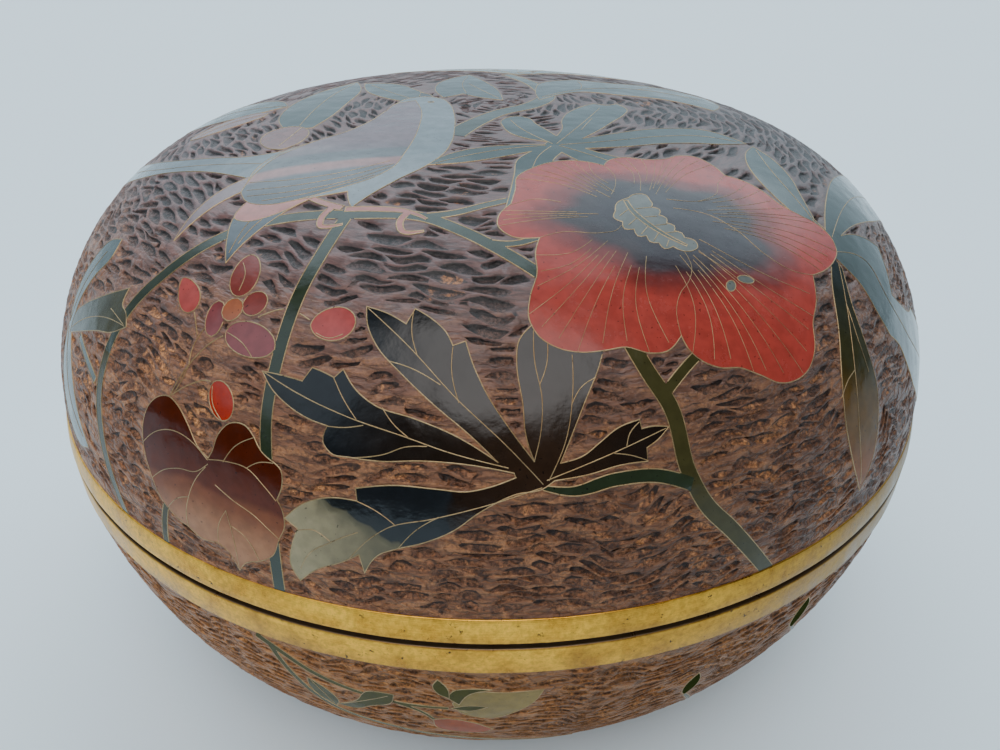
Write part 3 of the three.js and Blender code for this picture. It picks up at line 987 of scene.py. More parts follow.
    def cut_back(self, tree, middle, rim):
        """The part of a pit that can be seen from its middle without coming close to a wire."""
        steps = np.arange(0.3, 11, 0.3)
        axis = np.linalg.svd(rim - rim.mean(axis=0), full_matrices=False)[2]
        ray = self.ray * (2.2, 1) @ axis
        ray /= np.linalg.norm(ray, axis=1)[:, None]
        spots = middle + ray[:, None] * steps[None, :, None]
        within = inside(spots.reshape(-1, 2), rim).reshape(self.SIDES, -1)
        reach = []
        for i in range(self.SIDES):
            far = 0.1
            for j in range(len(steps)):
                if not within[i, j] or self.room(tree, spots[i, j : j + 1])[0] < self.EDGE_GAP:
                    break
                far = steps[j]
            reach.append(far)
        reach = np.array(reach)
        around = (np.roll(reach, 1) + np.roll(reach, -1)) / 2
        reach = np.minimum(reach, around * 1.5 + 0.15)
        return middle + ray * reach[:, None]


def tree_of(points):
    tree = KDTree(len(points))
    for i, p in enumerate(points):
        tree.insert((p[0], p[1], 0), i)
    tree.balance()
    return tree


def clearance(tree, point):
    return tree.find((point[0], point[1], 0))[2]


class Sheet:
    """The flat map of one dome, cut into triangles along the wires, the pits and the edges."""

    # A pit has half as many points where it is smaller than this, or on the far side of the box, mm
    SMALL, FAR_SIDE = 2.2, 10
    UNEVEN, UNEVEN_SIZE, UNEVEN_SEED = 0.16, 3.4, 3  # height and breadth of the ground's own swells
    SMOOTH_POLE = 20  # the swells keep this far from the pole, mm

    def __init__(self, dome, cells, lines, bark, spacing, fine_from=0.0, inner=0.0):
        self.dome, self.cells, self.inner, self.fine_from = dome, cells, inner, fine_from
        self.points, self.depth, self.relief, self.shade = [], [], [], []
        self.edges, self.loops = [], []
        turns = np.arange(ROUND) * 2 * math.pi / ROUND
        circle = np.column_stack([np.cos(turns), np.sin(turns)])
        self.ring(circle * dome.size, 0, 0)
        if inner:
            self.ring(circle * inner, 0, 0)
        for cell in cells:
            self.loops.append(self.add(cell.polygon, 0, 0))
        for line in lines:
            self.add(line, 0, 0)
        self.near_wire = tree_of(np.concatenate([c.polygon for c in cells] + list(lines)))
        self.add_pits(bark.pits(cells, self.near_wire))
        self.add_fill(spacing)
        self.cut()

    def add(self, xy, depth, relief, shade=0.0):
        """Points with their heights, how far down a pit they are and how deep in its shade."""
        start = len(self.points)
        self.points.extend(map(tuple, xy))
        for values, value in ((self.depth, depth), (self.relief, relief), (self.shade, shade)):
            values.extend(np.broadcast_to(value, len(xy)).tolist())
        return list(range(start, start + len(xy)))

    def ring(self, xy, depth, relief, shade=0.0):
        ids = self.add(xy, depth, relief, shade)
        self.edges.extend(zip(ids, ids[1:] + ids[:1]))

    def add_pits(self, pits):
        """Pits that are steep on the side towards the pole and slope up away from it, with painted shade on
        that steep wall.
        """
        for middle, rim, depth in pits:
            small = np.linalg.norm(rim - middle, axis=1).max() < self.SMALL
            if small or middle[1] > self.FAR_SIDE or np.hypot(*middle) < self.fine_from:
                rim = rim[::2]
            out = rim - middle
            far = out @ (-middle / max(np.linalg.norm(middle), 1e-6))
            far = far / max(np.abs(far).max(), 1e-6)
            wall = np.clip(far * 1.6, 0, 1)
            # The last value of each ring is painted shade, strongest on the steep wall towards the pole
            self.ring(rim, -0.05 - 0.03 * far, 0.1 + 0.07 * far, 0.15 * wall)
            slope = middle + out * (0.8 + 0.08 * far)[:, None]
            self.ring(slope, -depth * (0.6 + 0.28 * far), 0.62 - 0.12 * far, wall)
            floor = (middle + out * 0.46)[::2]
            self.add(floor, (-depth * (0.9 + 0.1 * far))[::2], 0.94, 0.2 * wall[::2])
            self.add([middle], -depth * 0.92, 1.0)

    def add_fill(self, spacing):
        """Evenly spread points: few under the enamels, many where the grain is in view."""
        tree = tree_of(self.points)
        half, row = 170, 0.866  # reach of the grid in mm, and its rows' spacing as a share of the gap
        for gap, low, high, bare in spacing:
            j, i = np.mgrid[0 : 2 * half / (gap * row), 0 : 2 * half / gap]
            xy = np.column_stack([((i + (j % 2) / 2) * gap).ravel(), (j * gap * row).ravel()]) - half
            rho = np.hypot(xy[:, 0], xy[:, 1])
            xy = xy[(rho >= max(low, self.inner + gap / 2)) & (rho < min(high, self.dome.size - gap * 0.4))]
            covered = np.zeros(len(xy), bool)
            for cell in self.cells:
                covered |= inside(xy, cell.polygon)
            for point in xy[covered != bare]:
                if clearance(tree, point) > gap * 0.55:
                    self.add([point], 0, 0)

    def cut(self):
        """Triangles, the cell that owns each, and each point's height and place in its pit."""
        out = delaunay_2d_cdt([Vector(p) for p in self.points], self.edges, self.loops, 0, 1e-5, True)
        self.xy = np.array([tuple(v) for v in out[0]])
        triangles = np.array(out[2])
        owner = np.array([max(f) if f else -1 for f in out[5]])
        rho = np.hypot(*self.xy[triangles].mean(axis=1).T)
        keep = (rho < self.dome.size) & (rho > self.inner)
        self.triangles, self.owner = triangles[keep], owner[keep]
        first = [o[0] if o else -1 for o in out[3]]
        self.z, self.pit, self.dark = (
            np.array([values[i] if i >= 0 else 0.0 for i in first])
            for values in (self.depth, self.relief, self.shade)
        )
        swell = self.UNEVEN * (Drift(self.UNEVEN_SEED, self.UNEVEN_SIZE).at(self.xy) - 0.4)
        self.z += swell * (np.hypot(*self.xy.T) > self.SMOOTH_POLE)

    def bed(self):
        """Depths for the ground: the pits, and a shallow bed under each enamel."""
        in_cell = np.ones(len(self.xy), bool)
        in_cell[self.triangles[self.owner < 0].ravel()] = False
        depth = self.z.copy()
        for i in np.nonzero(in_cell)[0]:
            if clearance(self.near_wire, self.xy[i]) > BED_MARGIN:
                depth[i] = -BED_DEPTH
        for i in np.nonzero((self.pit < 0.1) & ~in_cell)[0]:
            room = min(clearance(self.near_wire, self.xy[i]), self.dome.size - np.hypot(*self.xy[i]))
            depth[i] *= min(1.0, max(0.0, room - EDGE_MARGIN) / EDGE_RUN)
        return np.minimum(depth, 0.0)


def enamel_pieces(sheet, materials):
    """One piece for each group of cells, its faces just proud of the ground."""
    groups = {}
    for k, cell in enumerate(sheet.cells):
        groups.setdefault(cell.piece, []).append(k)
    made = []
    for name, members in groups.items():
        points, normals, faces, slots, tones, used = [], [], [], [], [], []
        count = 0
        for k in members:
            cell = sheet.cells[k]
            triangles = sheet.triangles[sheet.owner == k]
            if not len(triangles):
                continue
            ids, local = np.unique(triangles, return_inverse=True)
            xy = sheet.xy[ids]
            points.append(sheet.dome.place(xy, ENAMEL_PROUD))
            normals.append(sheet.dome.normals(xy))
            tones.append(cell.tone(xy) if cell.tone else np.full(len(xy), 0.5))
            local = local.reshape(-1, 3) + count
            faces.append(local if sheet.dome.facing > 0 else local[:, ::-1])
            if cell.enamel not in used:
                used.append(cell.enamel)
            slots.extend([used.index(cell.enamel)] * len(triangles))
            count += len(ids)
        piece = make_mesh(name, np.concatenate(points), np.concatenate(faces),
                          [materials[u] for u in used], slots)
        piece.data.normals_split_custom_set_from_vertices(np.concatenate(normals).tolist())
        store(piece, "tone", np.concatenate(tones))
        made.append(piece)
    return made


def wire_lines(cells, stalks):
    """The visible stretches of every outline, vein and stalk, each with its width."""
    lines = []
    for k, cell in enumerate(cells):
        covers = [c for j, c in enumerate(cells)
                  if j > k or (c.family and c.family == cell.family and j != k)]
        wires = [(r, WIRE_WIDTH) for r in cell.runs] + [(v, cell.vein_width) for v in cell.veins]
        for line, width in wires:
            lines.extend((part, width) for part in visible(line, covers))
    for line in stalks:
        lines.extend((part, WIRE_WIDTH) for part in visible(line, cells))
    return lines


def visible(line, covers):
    """The stretches of a line that no covering cell hides."""
    hidden = np.zeros(len(line), bool)
    for cover in covers:
        hidden |= inside(line, cover.polygon)
    breaks = np.nonzero(np.diff(hidden))[0] + 1
    return [part for part, gone in zip(np.split(line, breaks), np.split(hidden, breaks))
            if len(part) > 1 and not gone[0]]


def wire_piece(name, dome, lines, material):
    """Flat-topped wires along the lines, standing just proud of the enamel."""
    section = [(-0.5, WIRE_ROOT), (-0.3, WIRE_RISE), (0.3, WIRE_RISE), (0.5, WIRE_ROOT)]
    past_end = 0.35  # share of its width that a wire runs on past its last point
    points, faces, count = [], [], 0
    for line, width in lines:
        line = line[np.hypot(line[:, 0], line[:, 1]) < dome.size - 0.15]
        if len(line) < 2:
            continue
        line = np.asarray(line, float).copy()
        first, last = line[1] - line[0], line[-1] - line[-2]
        line[0] -= first / max(np.linalg.norm(first), 1e-6) * width * past_end
        line[-1] += last / max(np.linalg.norm(last), 1e-6) * width * past_end
        along_line = np.gradient(line, axis=0)
        along_line /= np.maximum(np.linalg.norm(along_line, axis=1), 1e-9)[:, None]
        side = np.column_stack([-along_line[:, 1], along_line[:, 0]])
        for share, lift in section:
            points.append(dome.place(line + side * share * width, lift))
        n = len(line)
        for j in range(3):
            a, b = count + j * n, count + (j + 1) * n
            for i in range(n - 1):
                quad = (a + i, b + i, b + i + 1, a + i + 1)
                faces.append(quad[::-1] if dome.facing > 0 else quad)
        count += 4 * n
    return make_mesh(name, np.concatenate(points), faces, [material])


# ---------------------------------------------------------------- shells and bands


def quarter(radius, height, curve, steps):
    """One quarter of a dome's section, from the pole to the rim, as the solids have it."""
    across, up = curve
    out = []
    for i in range(steps + 1):
        turn = math.pi / 2 * (i / steps) ** (across / 2)
        rise = 0 if i == steps else height * math.cos(turn) ** (2 / up)
        out.append((radius * math.sin(turn) ** (2 / across), rise))
    return out


def shell(name, sheet, linings, materials):
    """The ground face of a dome closed with turned surfaces, each with its material number."""
    points = [sheet.dome.place(sheet.xy, sheet.bed())]
    faces = [tuple(t) if sheet.dome.facing > 0 else tuple(t[::-1]) for t in sheet.triangles]
    labels = [0] * len(faces)
    ground = count = len(points[0])
    for outline, label, flip in linings:
        ring, quads = lathe(outline)
        faces.extend(tuple(i + count for i in (q[::-1] if flip else q)) for q in quads)
        labels.extend([label] * len(quads))
        points.append(ring)
        count += len(ring)
    everything = np.concatenate(points)
    flat = np.concatenate([sheet.xy, everything[ground:, :2] / MM])
    plain = np.zeros(count - ground)
    merged, loops, kept, first = weld(everything, faces, labels)
    piece = make_mesh(name, merged, loops, materials, kept)
    store(piece, "relief", np.concatenate([sheet.pit, plain])[first])
    # dark: painted shade on the pits' steep walls
    store(piece, "dark", np.concatenate([sheet.dark, plain])[first])
    store(piece, "lay", np.column_stack([np.hypot(*flat.T), flat])[first])
    return piece


def lid_linings():
    inner = [(r, LID_EDGE + h) for r, h in quarter(LID_RADIUS - WALL, LID_RISE - WALL, LID_CURVE, 16)]
    edge = [(LID_RADIUS, LID_EDGE), (LID_RADIUS - WALL, LID_EDGE)]
    return [(edge, 1, False), (inner[::-1], 1, False)]


def foot_join():
    """Where the bowl's outside meets its foot, as a radius and as a place on the map."""
    radius = FOOT_RADIUS + FOOT_FILLET
    return radius, float(np.interp(radius, BOWL.r, BOWL.arc))


def bowl_linings():
    """The foot's faces in brass, then the base, the edge and the inside in plain enamel."""
    join_r, join_arc = foot_join()
    join_z = float(np.interp(join_arc, BOWL.arc, BOWL.z))
    r_in = FOOT_RADIUS - FOOT_WIDTH
    lip = 0.4
    outside = [(join_r, join_z), (FOOT_RADIUS + 0.35, join_z - 0.5), (FOOT_RADIUS, join_z - 1.3),
               (FOOT_RADIUS, lip), (FOOT_RADIUS - lip, 0)]
    under = [(FOOT_RADIUS - lip, 0), (r_in + lip, 0), (r_in, lip), (r_in, FOOT_RECESS - 1.1),
             (r_in - 0.35, FOOT_RECESS - 0.35), (r_in - FOOT_FILLET, FOOT_RECESS)]
    base = [(r_in - FOOT_FILLET, FOOT_RECESS), (r_in * 0.66, FOOT_RECESS), (r_in * 0.33, FOOT_RECESS),
            (0, FOOT_RECESS)]
    depth = BOWL_EDGE - FOOT_RECESS - WALL
    inner = [(r, BOWL_EDGE - h) for r, h in quarter(BOWL_RADIUS - WALL, depth, BOWL_CURVE, 18)]
    edge = [(BOWL_RADIUS, BOWL_EDGE), (BOWL_RADIUS - WALL, BOWL_EDGE)]
    return [(outside, 2, True), (under, 2, True), (base, 1, True), (edge, 1, True), (inner[::-1], 1, True)]


# Faint dents round a band from handling: depth in mm, how many round it, and phase
DENTS = [(0.035, 7, 1), (0.025, 17, 0), (0.02, 31, 2)]
RUBBED = 0.05  # least depth worn off a band's face, mm


def band(name, outline, material):
    """A turned brass ring, worn on its face, with painted shade in the groove."""
    points, faces = lathe(outline, 288, closed=True)
    turn = np.arctan2(points[:, 1], points[:, 0])
    rub = sum(depth * np.sin(count * turn + phase) for depth, count, phase in DENTS)
    reach = np.hypot(points[:, 0], points[:, 1])
    on_face = reach > (BOX_RADIUS - 0.9) * MM
    points[:, :2] *= np.where(on_face, 1 - (RUBBED + np.abs(rub)) * MM / reach, 1)[:, None]
    piece = make_mesh(name, points, faces, [material])
    from_seam = np.abs(points[:, 2] / MM - SEAM)
    in_groove = reach > (BOX_RADIUS - 3.2) * MM
    # groove_shade: painted shade in the groove at the seam
    store(piece, "groove_shade", np.clip((1.0 - from_seam) / 0.25, 0, 1) * in_groove)
    return piece


def arc_corner(r, z, radius, start, stop, steps=3):
    """A rounded corner about the point (r, z), between two headings in degrees."""
    turns = [math.radians(start + (stop - start) * i / steps) for i in range(steps + 1)]
    return [(r + radius * math.cos(t), z + radius * math.sin(t)) for t in turns]


EDGE_ROUND = 0.25  # a band's rounded edge beside the enamel, mm


def lid_band_outline():
    low, high = LID_BAND_LOW.z / MM, LID_BAND_HIGH.z / MM
    inner, top = LID_RADIUS - WALL, LID_RADIUS + BAND_PROUD
    return (
        [(inner, high), (inner, low)]
        + arc_corner(BOX_RADIUS - BAND_CHAMFER, low + BAND_CHAMFER, BAND_CHAMFER, -90, 0)
        + [(BOX_RADIUS - 0.15, low + 2), (BOX_RADIUS - 0.5, high - 1.6)]
        + arc_corner(top - EDGE_ROUND, high - EDGE_ROUND, EDGE_ROUND, 20, 90)
    )


def bowl_band_outline():
    low, ledge, top = BOWL_BAND_LOW.z / MM, LID_BAND_LOW.z / MM, BOWL_BAND_HIGH.z / MM
    face = ledge - 2 * GROOVE_HALF
    inner = LID_RADIUS - WALL
    collar = inner - COLLAR_PLAY
    crest = top - COLLAR_BEVEL
    return (
        arc_corner(BOX_RADIUS - EDGE_ROUND, low + EDGE_ROUND, EDGE_ROUND, -90, 0)
        + arc_corner(BOX_RADIUS - BAND_CHAMFER, face - BAND_CHAMFER, BAND_CHAMFER, 0, 90)
        + [(inner + LEDGE_WIDTH, face), (inner + LEDGE_WIDTH, ledge), (collar, ledge)]
        + arc_corner(collar - COLLAR_BEVEL, crest, COLLAR_BEVEL, 0, 90)
        + arc_corner(collar - COLLAR_THICKNESS + COLLAR_BEVEL, crest, COLLAR_BEVEL, 90, 180)
        + [(collar - COLLAR_THICKNESS, low)]
    )


# ---------------------------------------------------------------- materials


class Paint:
    """The shader nodes of one material or of the surroundings, with a short call for each kind."""

    def __init__(self, owner, shader="BsdfPrincipled", output="OutputMaterial"):
        owner.use_nodes = True
        self.tree = owner.node_tree
        self.tree.nodes.clear()
        self.shader = self.add(shader)
        self.add(output, self.shader.outputs[0])

    def add(self, kind, *values, **settings):
        """A node with its settings made and its first sockets filled, in order."""
        made = self.tree.nodes.new("ShaderNode" + kind)
        for key, value in settings.items():
            setattr(made, key, value)
        for socket, value in zip(made.inputs, values):
            self.fill(socket, value)
        return made

    def fill(self, socket, value):
        """Links a texture's output to a socket, or sets the socket to a plain value."""
        if isinstance(value, bpy.types.NodeSocket):
            self.tree.links.new(value, socket)
        else:
            socket.default_value = value

    def surface(self, **inputs):
        for key, value in inputs.items():
            self.fill(self.shader.inputs[key.replace("_", " ")], value)

    def place(self):
        return self.add("TexCoord").outputs["Object"]

    def stored(self, name, output="Fac"):
        return self.add("Attribute", attribute_name=name).outputs[output]

    def axis(self, vector, number):
        return self.add("SeparateXYZ", vector).outputs[number]

    def times(self, a, b, clamp=False):
        return self.add("Math", a, b, operation="MULTIPLY", use_clamp=clamp).outputs[0]

    def plus(self, a, b, clamp=False):
        return self.add("Math", a, b, operation="ADD", use_clamp=clamp).outputs[0]

    def less(self, a, b):
        return self.add("Math", a, b, operation="SUBTRACT").outputs[0]

    def greater(self, a, b):
        return self.add("Math", a, b, operation="MAXIMUM").outputs[0]

    def mix(self, share, a, b, mode="MIX"):
        made = self.add("Mix", share, data_type="RGBA", blend_type=mode)
        for socket, value in zip(made.inputs[6:8], (a, b)):
            self.fill(socket, (*value, 1) if isinstance(value, tuple) else value)
        return made.outputs[2]

    def tint(self, colour, by):
        return self.mix(1.0, colour, by, "MULTIPLY")

    def ramp(self, value, *stops):
        """Stops are places from 0 to 1, each with a colour or a grey level."""
        made = self.add("ValToRGB", value)
        made.color_ramp.interpolation = "EASE"
        elements = made.color_ramp.elements
        while len(elements) < len(stops):
            elements.new(0.5)
        for element, (spot, colour) in zip(elements, stops):
            element.position = spot
            element.color = (*colour, 1) if isinstance(colour, tuple) else (colour, colour, colour, 1)
        return made.outputs[0]

    def spread(self, value, source, target=(0.0, 1.0)):
        return self.add("MapRange", value, *source, *target, interpolation_type="SMOOTHSTEP").outputs[0]

    def stretched(self, vector, factors):
        return self.add("VectorMath", vector, factors, operation="MULTIPLY").outputs[0]

    def noise(self, where, scale, detail=3.0, rough=0.55, warp=0.0, output=0):
        made = self.add("TexNoise", where)
        for key, value in (("Scale", scale), ("Detail", detail), ("Roughness", rough), ("Distortion", warp)):
            made.inputs[key].default_value = value
        return made.outputs[output]

    def bump(self, height, distance, strength=0.5, normal=None):
        made = self.add("Bump")
        sockets = {"Strength": strength, "Distance": distance, "Height": height, "Normal": normal}
        for key, value in sockets.items():
            if value is not None:
                self.fill(made.inputs[key], value)
        return made.outputs[0]


def enamel(name, stops, bleed=0.35, roughness=0.13, specular=0.5):
    """A polished enamel whose colour follows its tone through the stops, clouded and pinholed."""
    material = bpy.data.materials.new(name)
    p = Paint(material)
    place = p.place()
    clouds = p.times(p.less(p.noise(place, 55, 4), 0.5), bleed)
    colour = p.ramp(p.plus(p.stored("tone"), clouds, clamp=True), *stops)
    colour = p.tint(colour, p.ramp(p.noise(place, 420), (0.3, 0.86), (0.7, 1.1)))
    colour = p.tint(colour, p.ramp(p.noise(place, 1700, 0), (0.17, 0.4), (0.22, 1.0)))
    wear = p.ramp(p.noise(place, 160, 5, 0.7), (0.35, roughness), (0.75, roughness + 0.12))
    wavy = p.bump(p.noise(place, 70, 2), 0.0011)
    wavy = p.bump(p.noise(place, 900, 2), 0.00006, normal=wavy)
    p.surface(Base_Color=colour, Roughness=wear, Normal=wavy, Specular_IOR_Level=specular)
    return material


def creases(p, lay):
    """Distance from a web of long wandering creases, as a texture output."""
    sway = p.noise(lay, 0.22, 2.0, 0.5, output="Color")
    flat = p.stretched(lay, (0.46, 0.12, 0.12))
    moved = p.add("VectorMath", sway, (1.6, 1.6, 1.6), flat, operation="MULTIPLY_ADD").outputs[0]
    web = p.add("TexVoronoi", moved, feature="DISTANCE_TO_EDGE")
    web.inputs["Scale"].default_value = 1.0
    return web.outputs["Distance"]


def bark_material(name, upper, lower, zone_span, shine, wall_shade):
    """Satin ridges round dark pits, turning to creased copper and brown lumps by the band.

    The two tables of colours, the shine and the strength of the painted shade on the pits'
    walls pass over between the two places on the map that zone_span gives.
    """
    material = bpy.data.materials.new(name)
    p = Paint(material)
    place, lay = p.place(), p.stored("lay", "Vector")
    zone = p.spread(p.axis(lay, 0), zone_span)
    stretch = p.stretched(lay, (1.0, 0.2, 0.2))
    streaks = p.noise(stretch, 1.2, 4, 0.62, 0.5)
    blotches = p.noise(stretch, 0.42, 3, 0.6, 0.8)
    grain = p.noise(place, 1500, 3, 0.7)
    spots = p.noise(place, 330, 3, 0.6, 0.8)

    def zoned(key):
        return p.mix(zone, upper[key], lower[key])

    # The smooth ridges, with worn copper on the lower ones
    ridge = p.mix(p.ramp(streaks, (0.32, 0.0), (0.68, 1.0)), zoned("ridge_dark"), zoned("ridge_light"))
    warm = p.times(p.ramp(blotches, (0.45, 0.0), (0.62, 1.0)), zone)
    ridge = p.mix(p.times(warm, p.ramp(grain, (0.35, 0.2), (0.65, 1.0))), ridge, lower["warm"])

    # The rough floors of the pits, flecked with copper
    floor = p.mix(p.ramp(spots, (0.35, 0.0), (0.62, 1.0)), zoned("floor_dark"), zoned("floor"))
    copper = p.plus(p.times(spots, 0.6), p.times(p.noise(place, 60, 3, 0.6), 0.6))
    copper = p.plus(copper, p.times(zone, 0.07))
    floor = p.mix(p.ramp(copper, (0.7, 0.0), (0.82, 1.0)), floor, zoned("copper"))
    floor = p.tint(floor, p.ramp(grain, (0.3, 0.3), (0.7, 1.6)))
    uneven = p.times(p.less(spots, 0.5), 0.25)
    depth = p.plus(p.stored("relief"), uneven, clamp=True)
    colour = p.mix(p.ramp(depth, (0.14, 0.0), (0.4, 1.0)), ridge, floor)

    # Painted shade on the pits' steep walls, and painted shade in the creases on the lower lumps
    wall = p.plus(p.stored("dark"), p.times(uneven, 1.4), clamp=True)
    wall = p.times(p.ramp(wall, (0.22, 0.0), (0.62, 1.0)), p.spread(zone, (0.0, 1.0), wall_shade))
    colour = p.mix(wall, colour, (0.006, 0.003, 0.0025))
    web = creases(p, lay)
    broken = p.ramp(p.noise(lay, 0.33, 2, 0.5), (0.42, 0.0), (0.52, 1.0))
    line = p.times(p.ramp(web, (0.02, 1.0), (0.075, 0.0)), broken)
    # Painted shade darkening the creases on the lower lumps
    colour = p.mix(p.times(line, p.times(zone, 0.45)), colour, (0.010, 0.005, 0.004))
    # Painted light and shade: lighter towards -x, on the left, and darker towards +x, on the right
    colour = p.tint(colour, p.spread(p.axis(place, 0), (-0.11, 0.11), (1.42, 0.7)))

    up = p.bump(p.times(p.ramp(web, (0.0, 0.0), (0.22, 1.0)), zone), 0.0005, 0.8)
    up = p.bump(p.times(streaks, p.spread(zone, (0.0, 1.0), (0.5, 1.6))), 0.0006, 0.5, up)
    coarse = p.greater(depth, p.times(warm, 0.6))
    up = p.bump(p.times(grain, p.plus(p.times(coarse, 0.85), 0.15)), 0.0004, 0.8, up)
    p.surface(Base_Color=colour, Normal=up, Roughness=p.ramp(depth, (0.0, 0.38), (0.3, 0.5), (1.0, 0.46)),
              Specular_IOR_Level=p.spread(zone, (0.0, 1.0), shine))
    return material


UPPER_BARK = {
    "ridge_dark": (0.060, 0.032, 0.029), "ridge_light": (0.136, 0.064, 0.057),
    "floor_dark": (0.010, 0.006, 0.006), "floor": (0.055, 0.037, 0.036), "copper": (0.30, 0.12, 0.045),
}
LOWER_BARK = {
    "ridge_dark": (0.085, 0.033, 0.016), "ridge_light": (0.21, 0.088, 0.040), "warm": (0.34, 0.15, 0.062),
    "floor_dark": (0.085, 0.034, 0.017), "floor": (0.20, 0.082, 0.036), "copper": (0.42, 0.18, 0.066),
}
BOWL_BARK = {
    "ridge_dark": (0.16, 0.062, 0.020), "ridge_light": (0.30, 0.122, 0.040), "warm": (0.41, 0.175, 0.058),
    "floor_dark": (0.13, 0.050, 0.018), "floor": (0.27, 0.11, 0.034), "copper": (0.46, 0.20, 0.066),
}


def brass_material(name, light, dark, roughness, right_side_shade):
    """Worn brass: fine turning marks round it, a tarnish in patches, and painted shade making it duller
    towards one side.
    """
    material = bpy.data.materials.new(name)
    p = Paint(material)
    place = p.place()
    turned = p.noise(p.add("CombineXYZ", p.axis(place, 2)).outputs[0], 5200, 3, 0.7)
    broken = p.noise(place, 130, 5, 0.7)
    marks = p.plus(p.times(turned, 0.35), p.times(broken, 0.65))
    colour = p.mix(p.ramp(marks, (0.35, 0.0), (0.65, 1.0)), dark, light)
    tarnish = p.ramp(p.noise(place, 24, 5, 0.65), (0.5, 0.0), (0.72, 0.75))
    colour = p.mix(tarnish, colour, (0.26, 0.12, 0.035))
    colour = p.tint(colour, p.ramp(p.noise(place, 900, 3, 0.7), (0.34, 0.8), (0.62, 1.05)))
    specks = p.ramp(p.noise(place, 480, 4, 0.7), (0.63, 0.0), (0.7, 1.0))
    colour = p.mix(specks, colour, (0.06, 0.035, 0.02))
    # Painted shade: darker towards +x, on the right
    colour = p.tint(colour, p.spread(p.axis(place, 0), (-0.01, 0.11), (1.0, right_side_shade)))
    # Painted shade in the groove, which also makes the brass less metallic there
    groove_shade = p.stored("groove_shade")
    colour = p.mix(groove_shade, colour, (0.035, 0.02, 0.008))
    rough = p.ramp(broken, (0.3, roughness - 0.08), (0.75, roughness + 0.14))
    up = p.bump(p.noise(place, 320, 4), 0.00012, normal=p.bump(turned, 0.00004))
    p.surface(Base_Color=colour, Metallic=p.less(1.0, p.times(groove_shade, 0.8)), Roughness=rough, Normal=up)
    return material


def lining_material():
    """The plain smooth enamel inside and underneath, mottled brown."""
    material = bpy.data.materials.new("lining")
    p = Paint(material)
    place = p.place()
    blotch = p.noise(place, 45, 5, 0.6)
    colour = p.mix(blotch, (0.035, 0.018, 0.013), (0.09, 0.045, 0.03))
    colour = p.mix(p.ramp(p.noise(place, 900, 2), (0.6, 0.0), (0.72, 0.8)), colour, (0.3, 0.15, 0.06))
    p.surface(Base_Color=colour, Roughness=p.ramp(blotch, (0.3, 0.22), (0.8, 0.36)),
              Normal=p.bump(p.noise(place, 120, 3), 0.0003))
    return material


def plain(dark, light, **finish):
    return {"stops": [(0.0, dark), (1.0, light)], **finish}


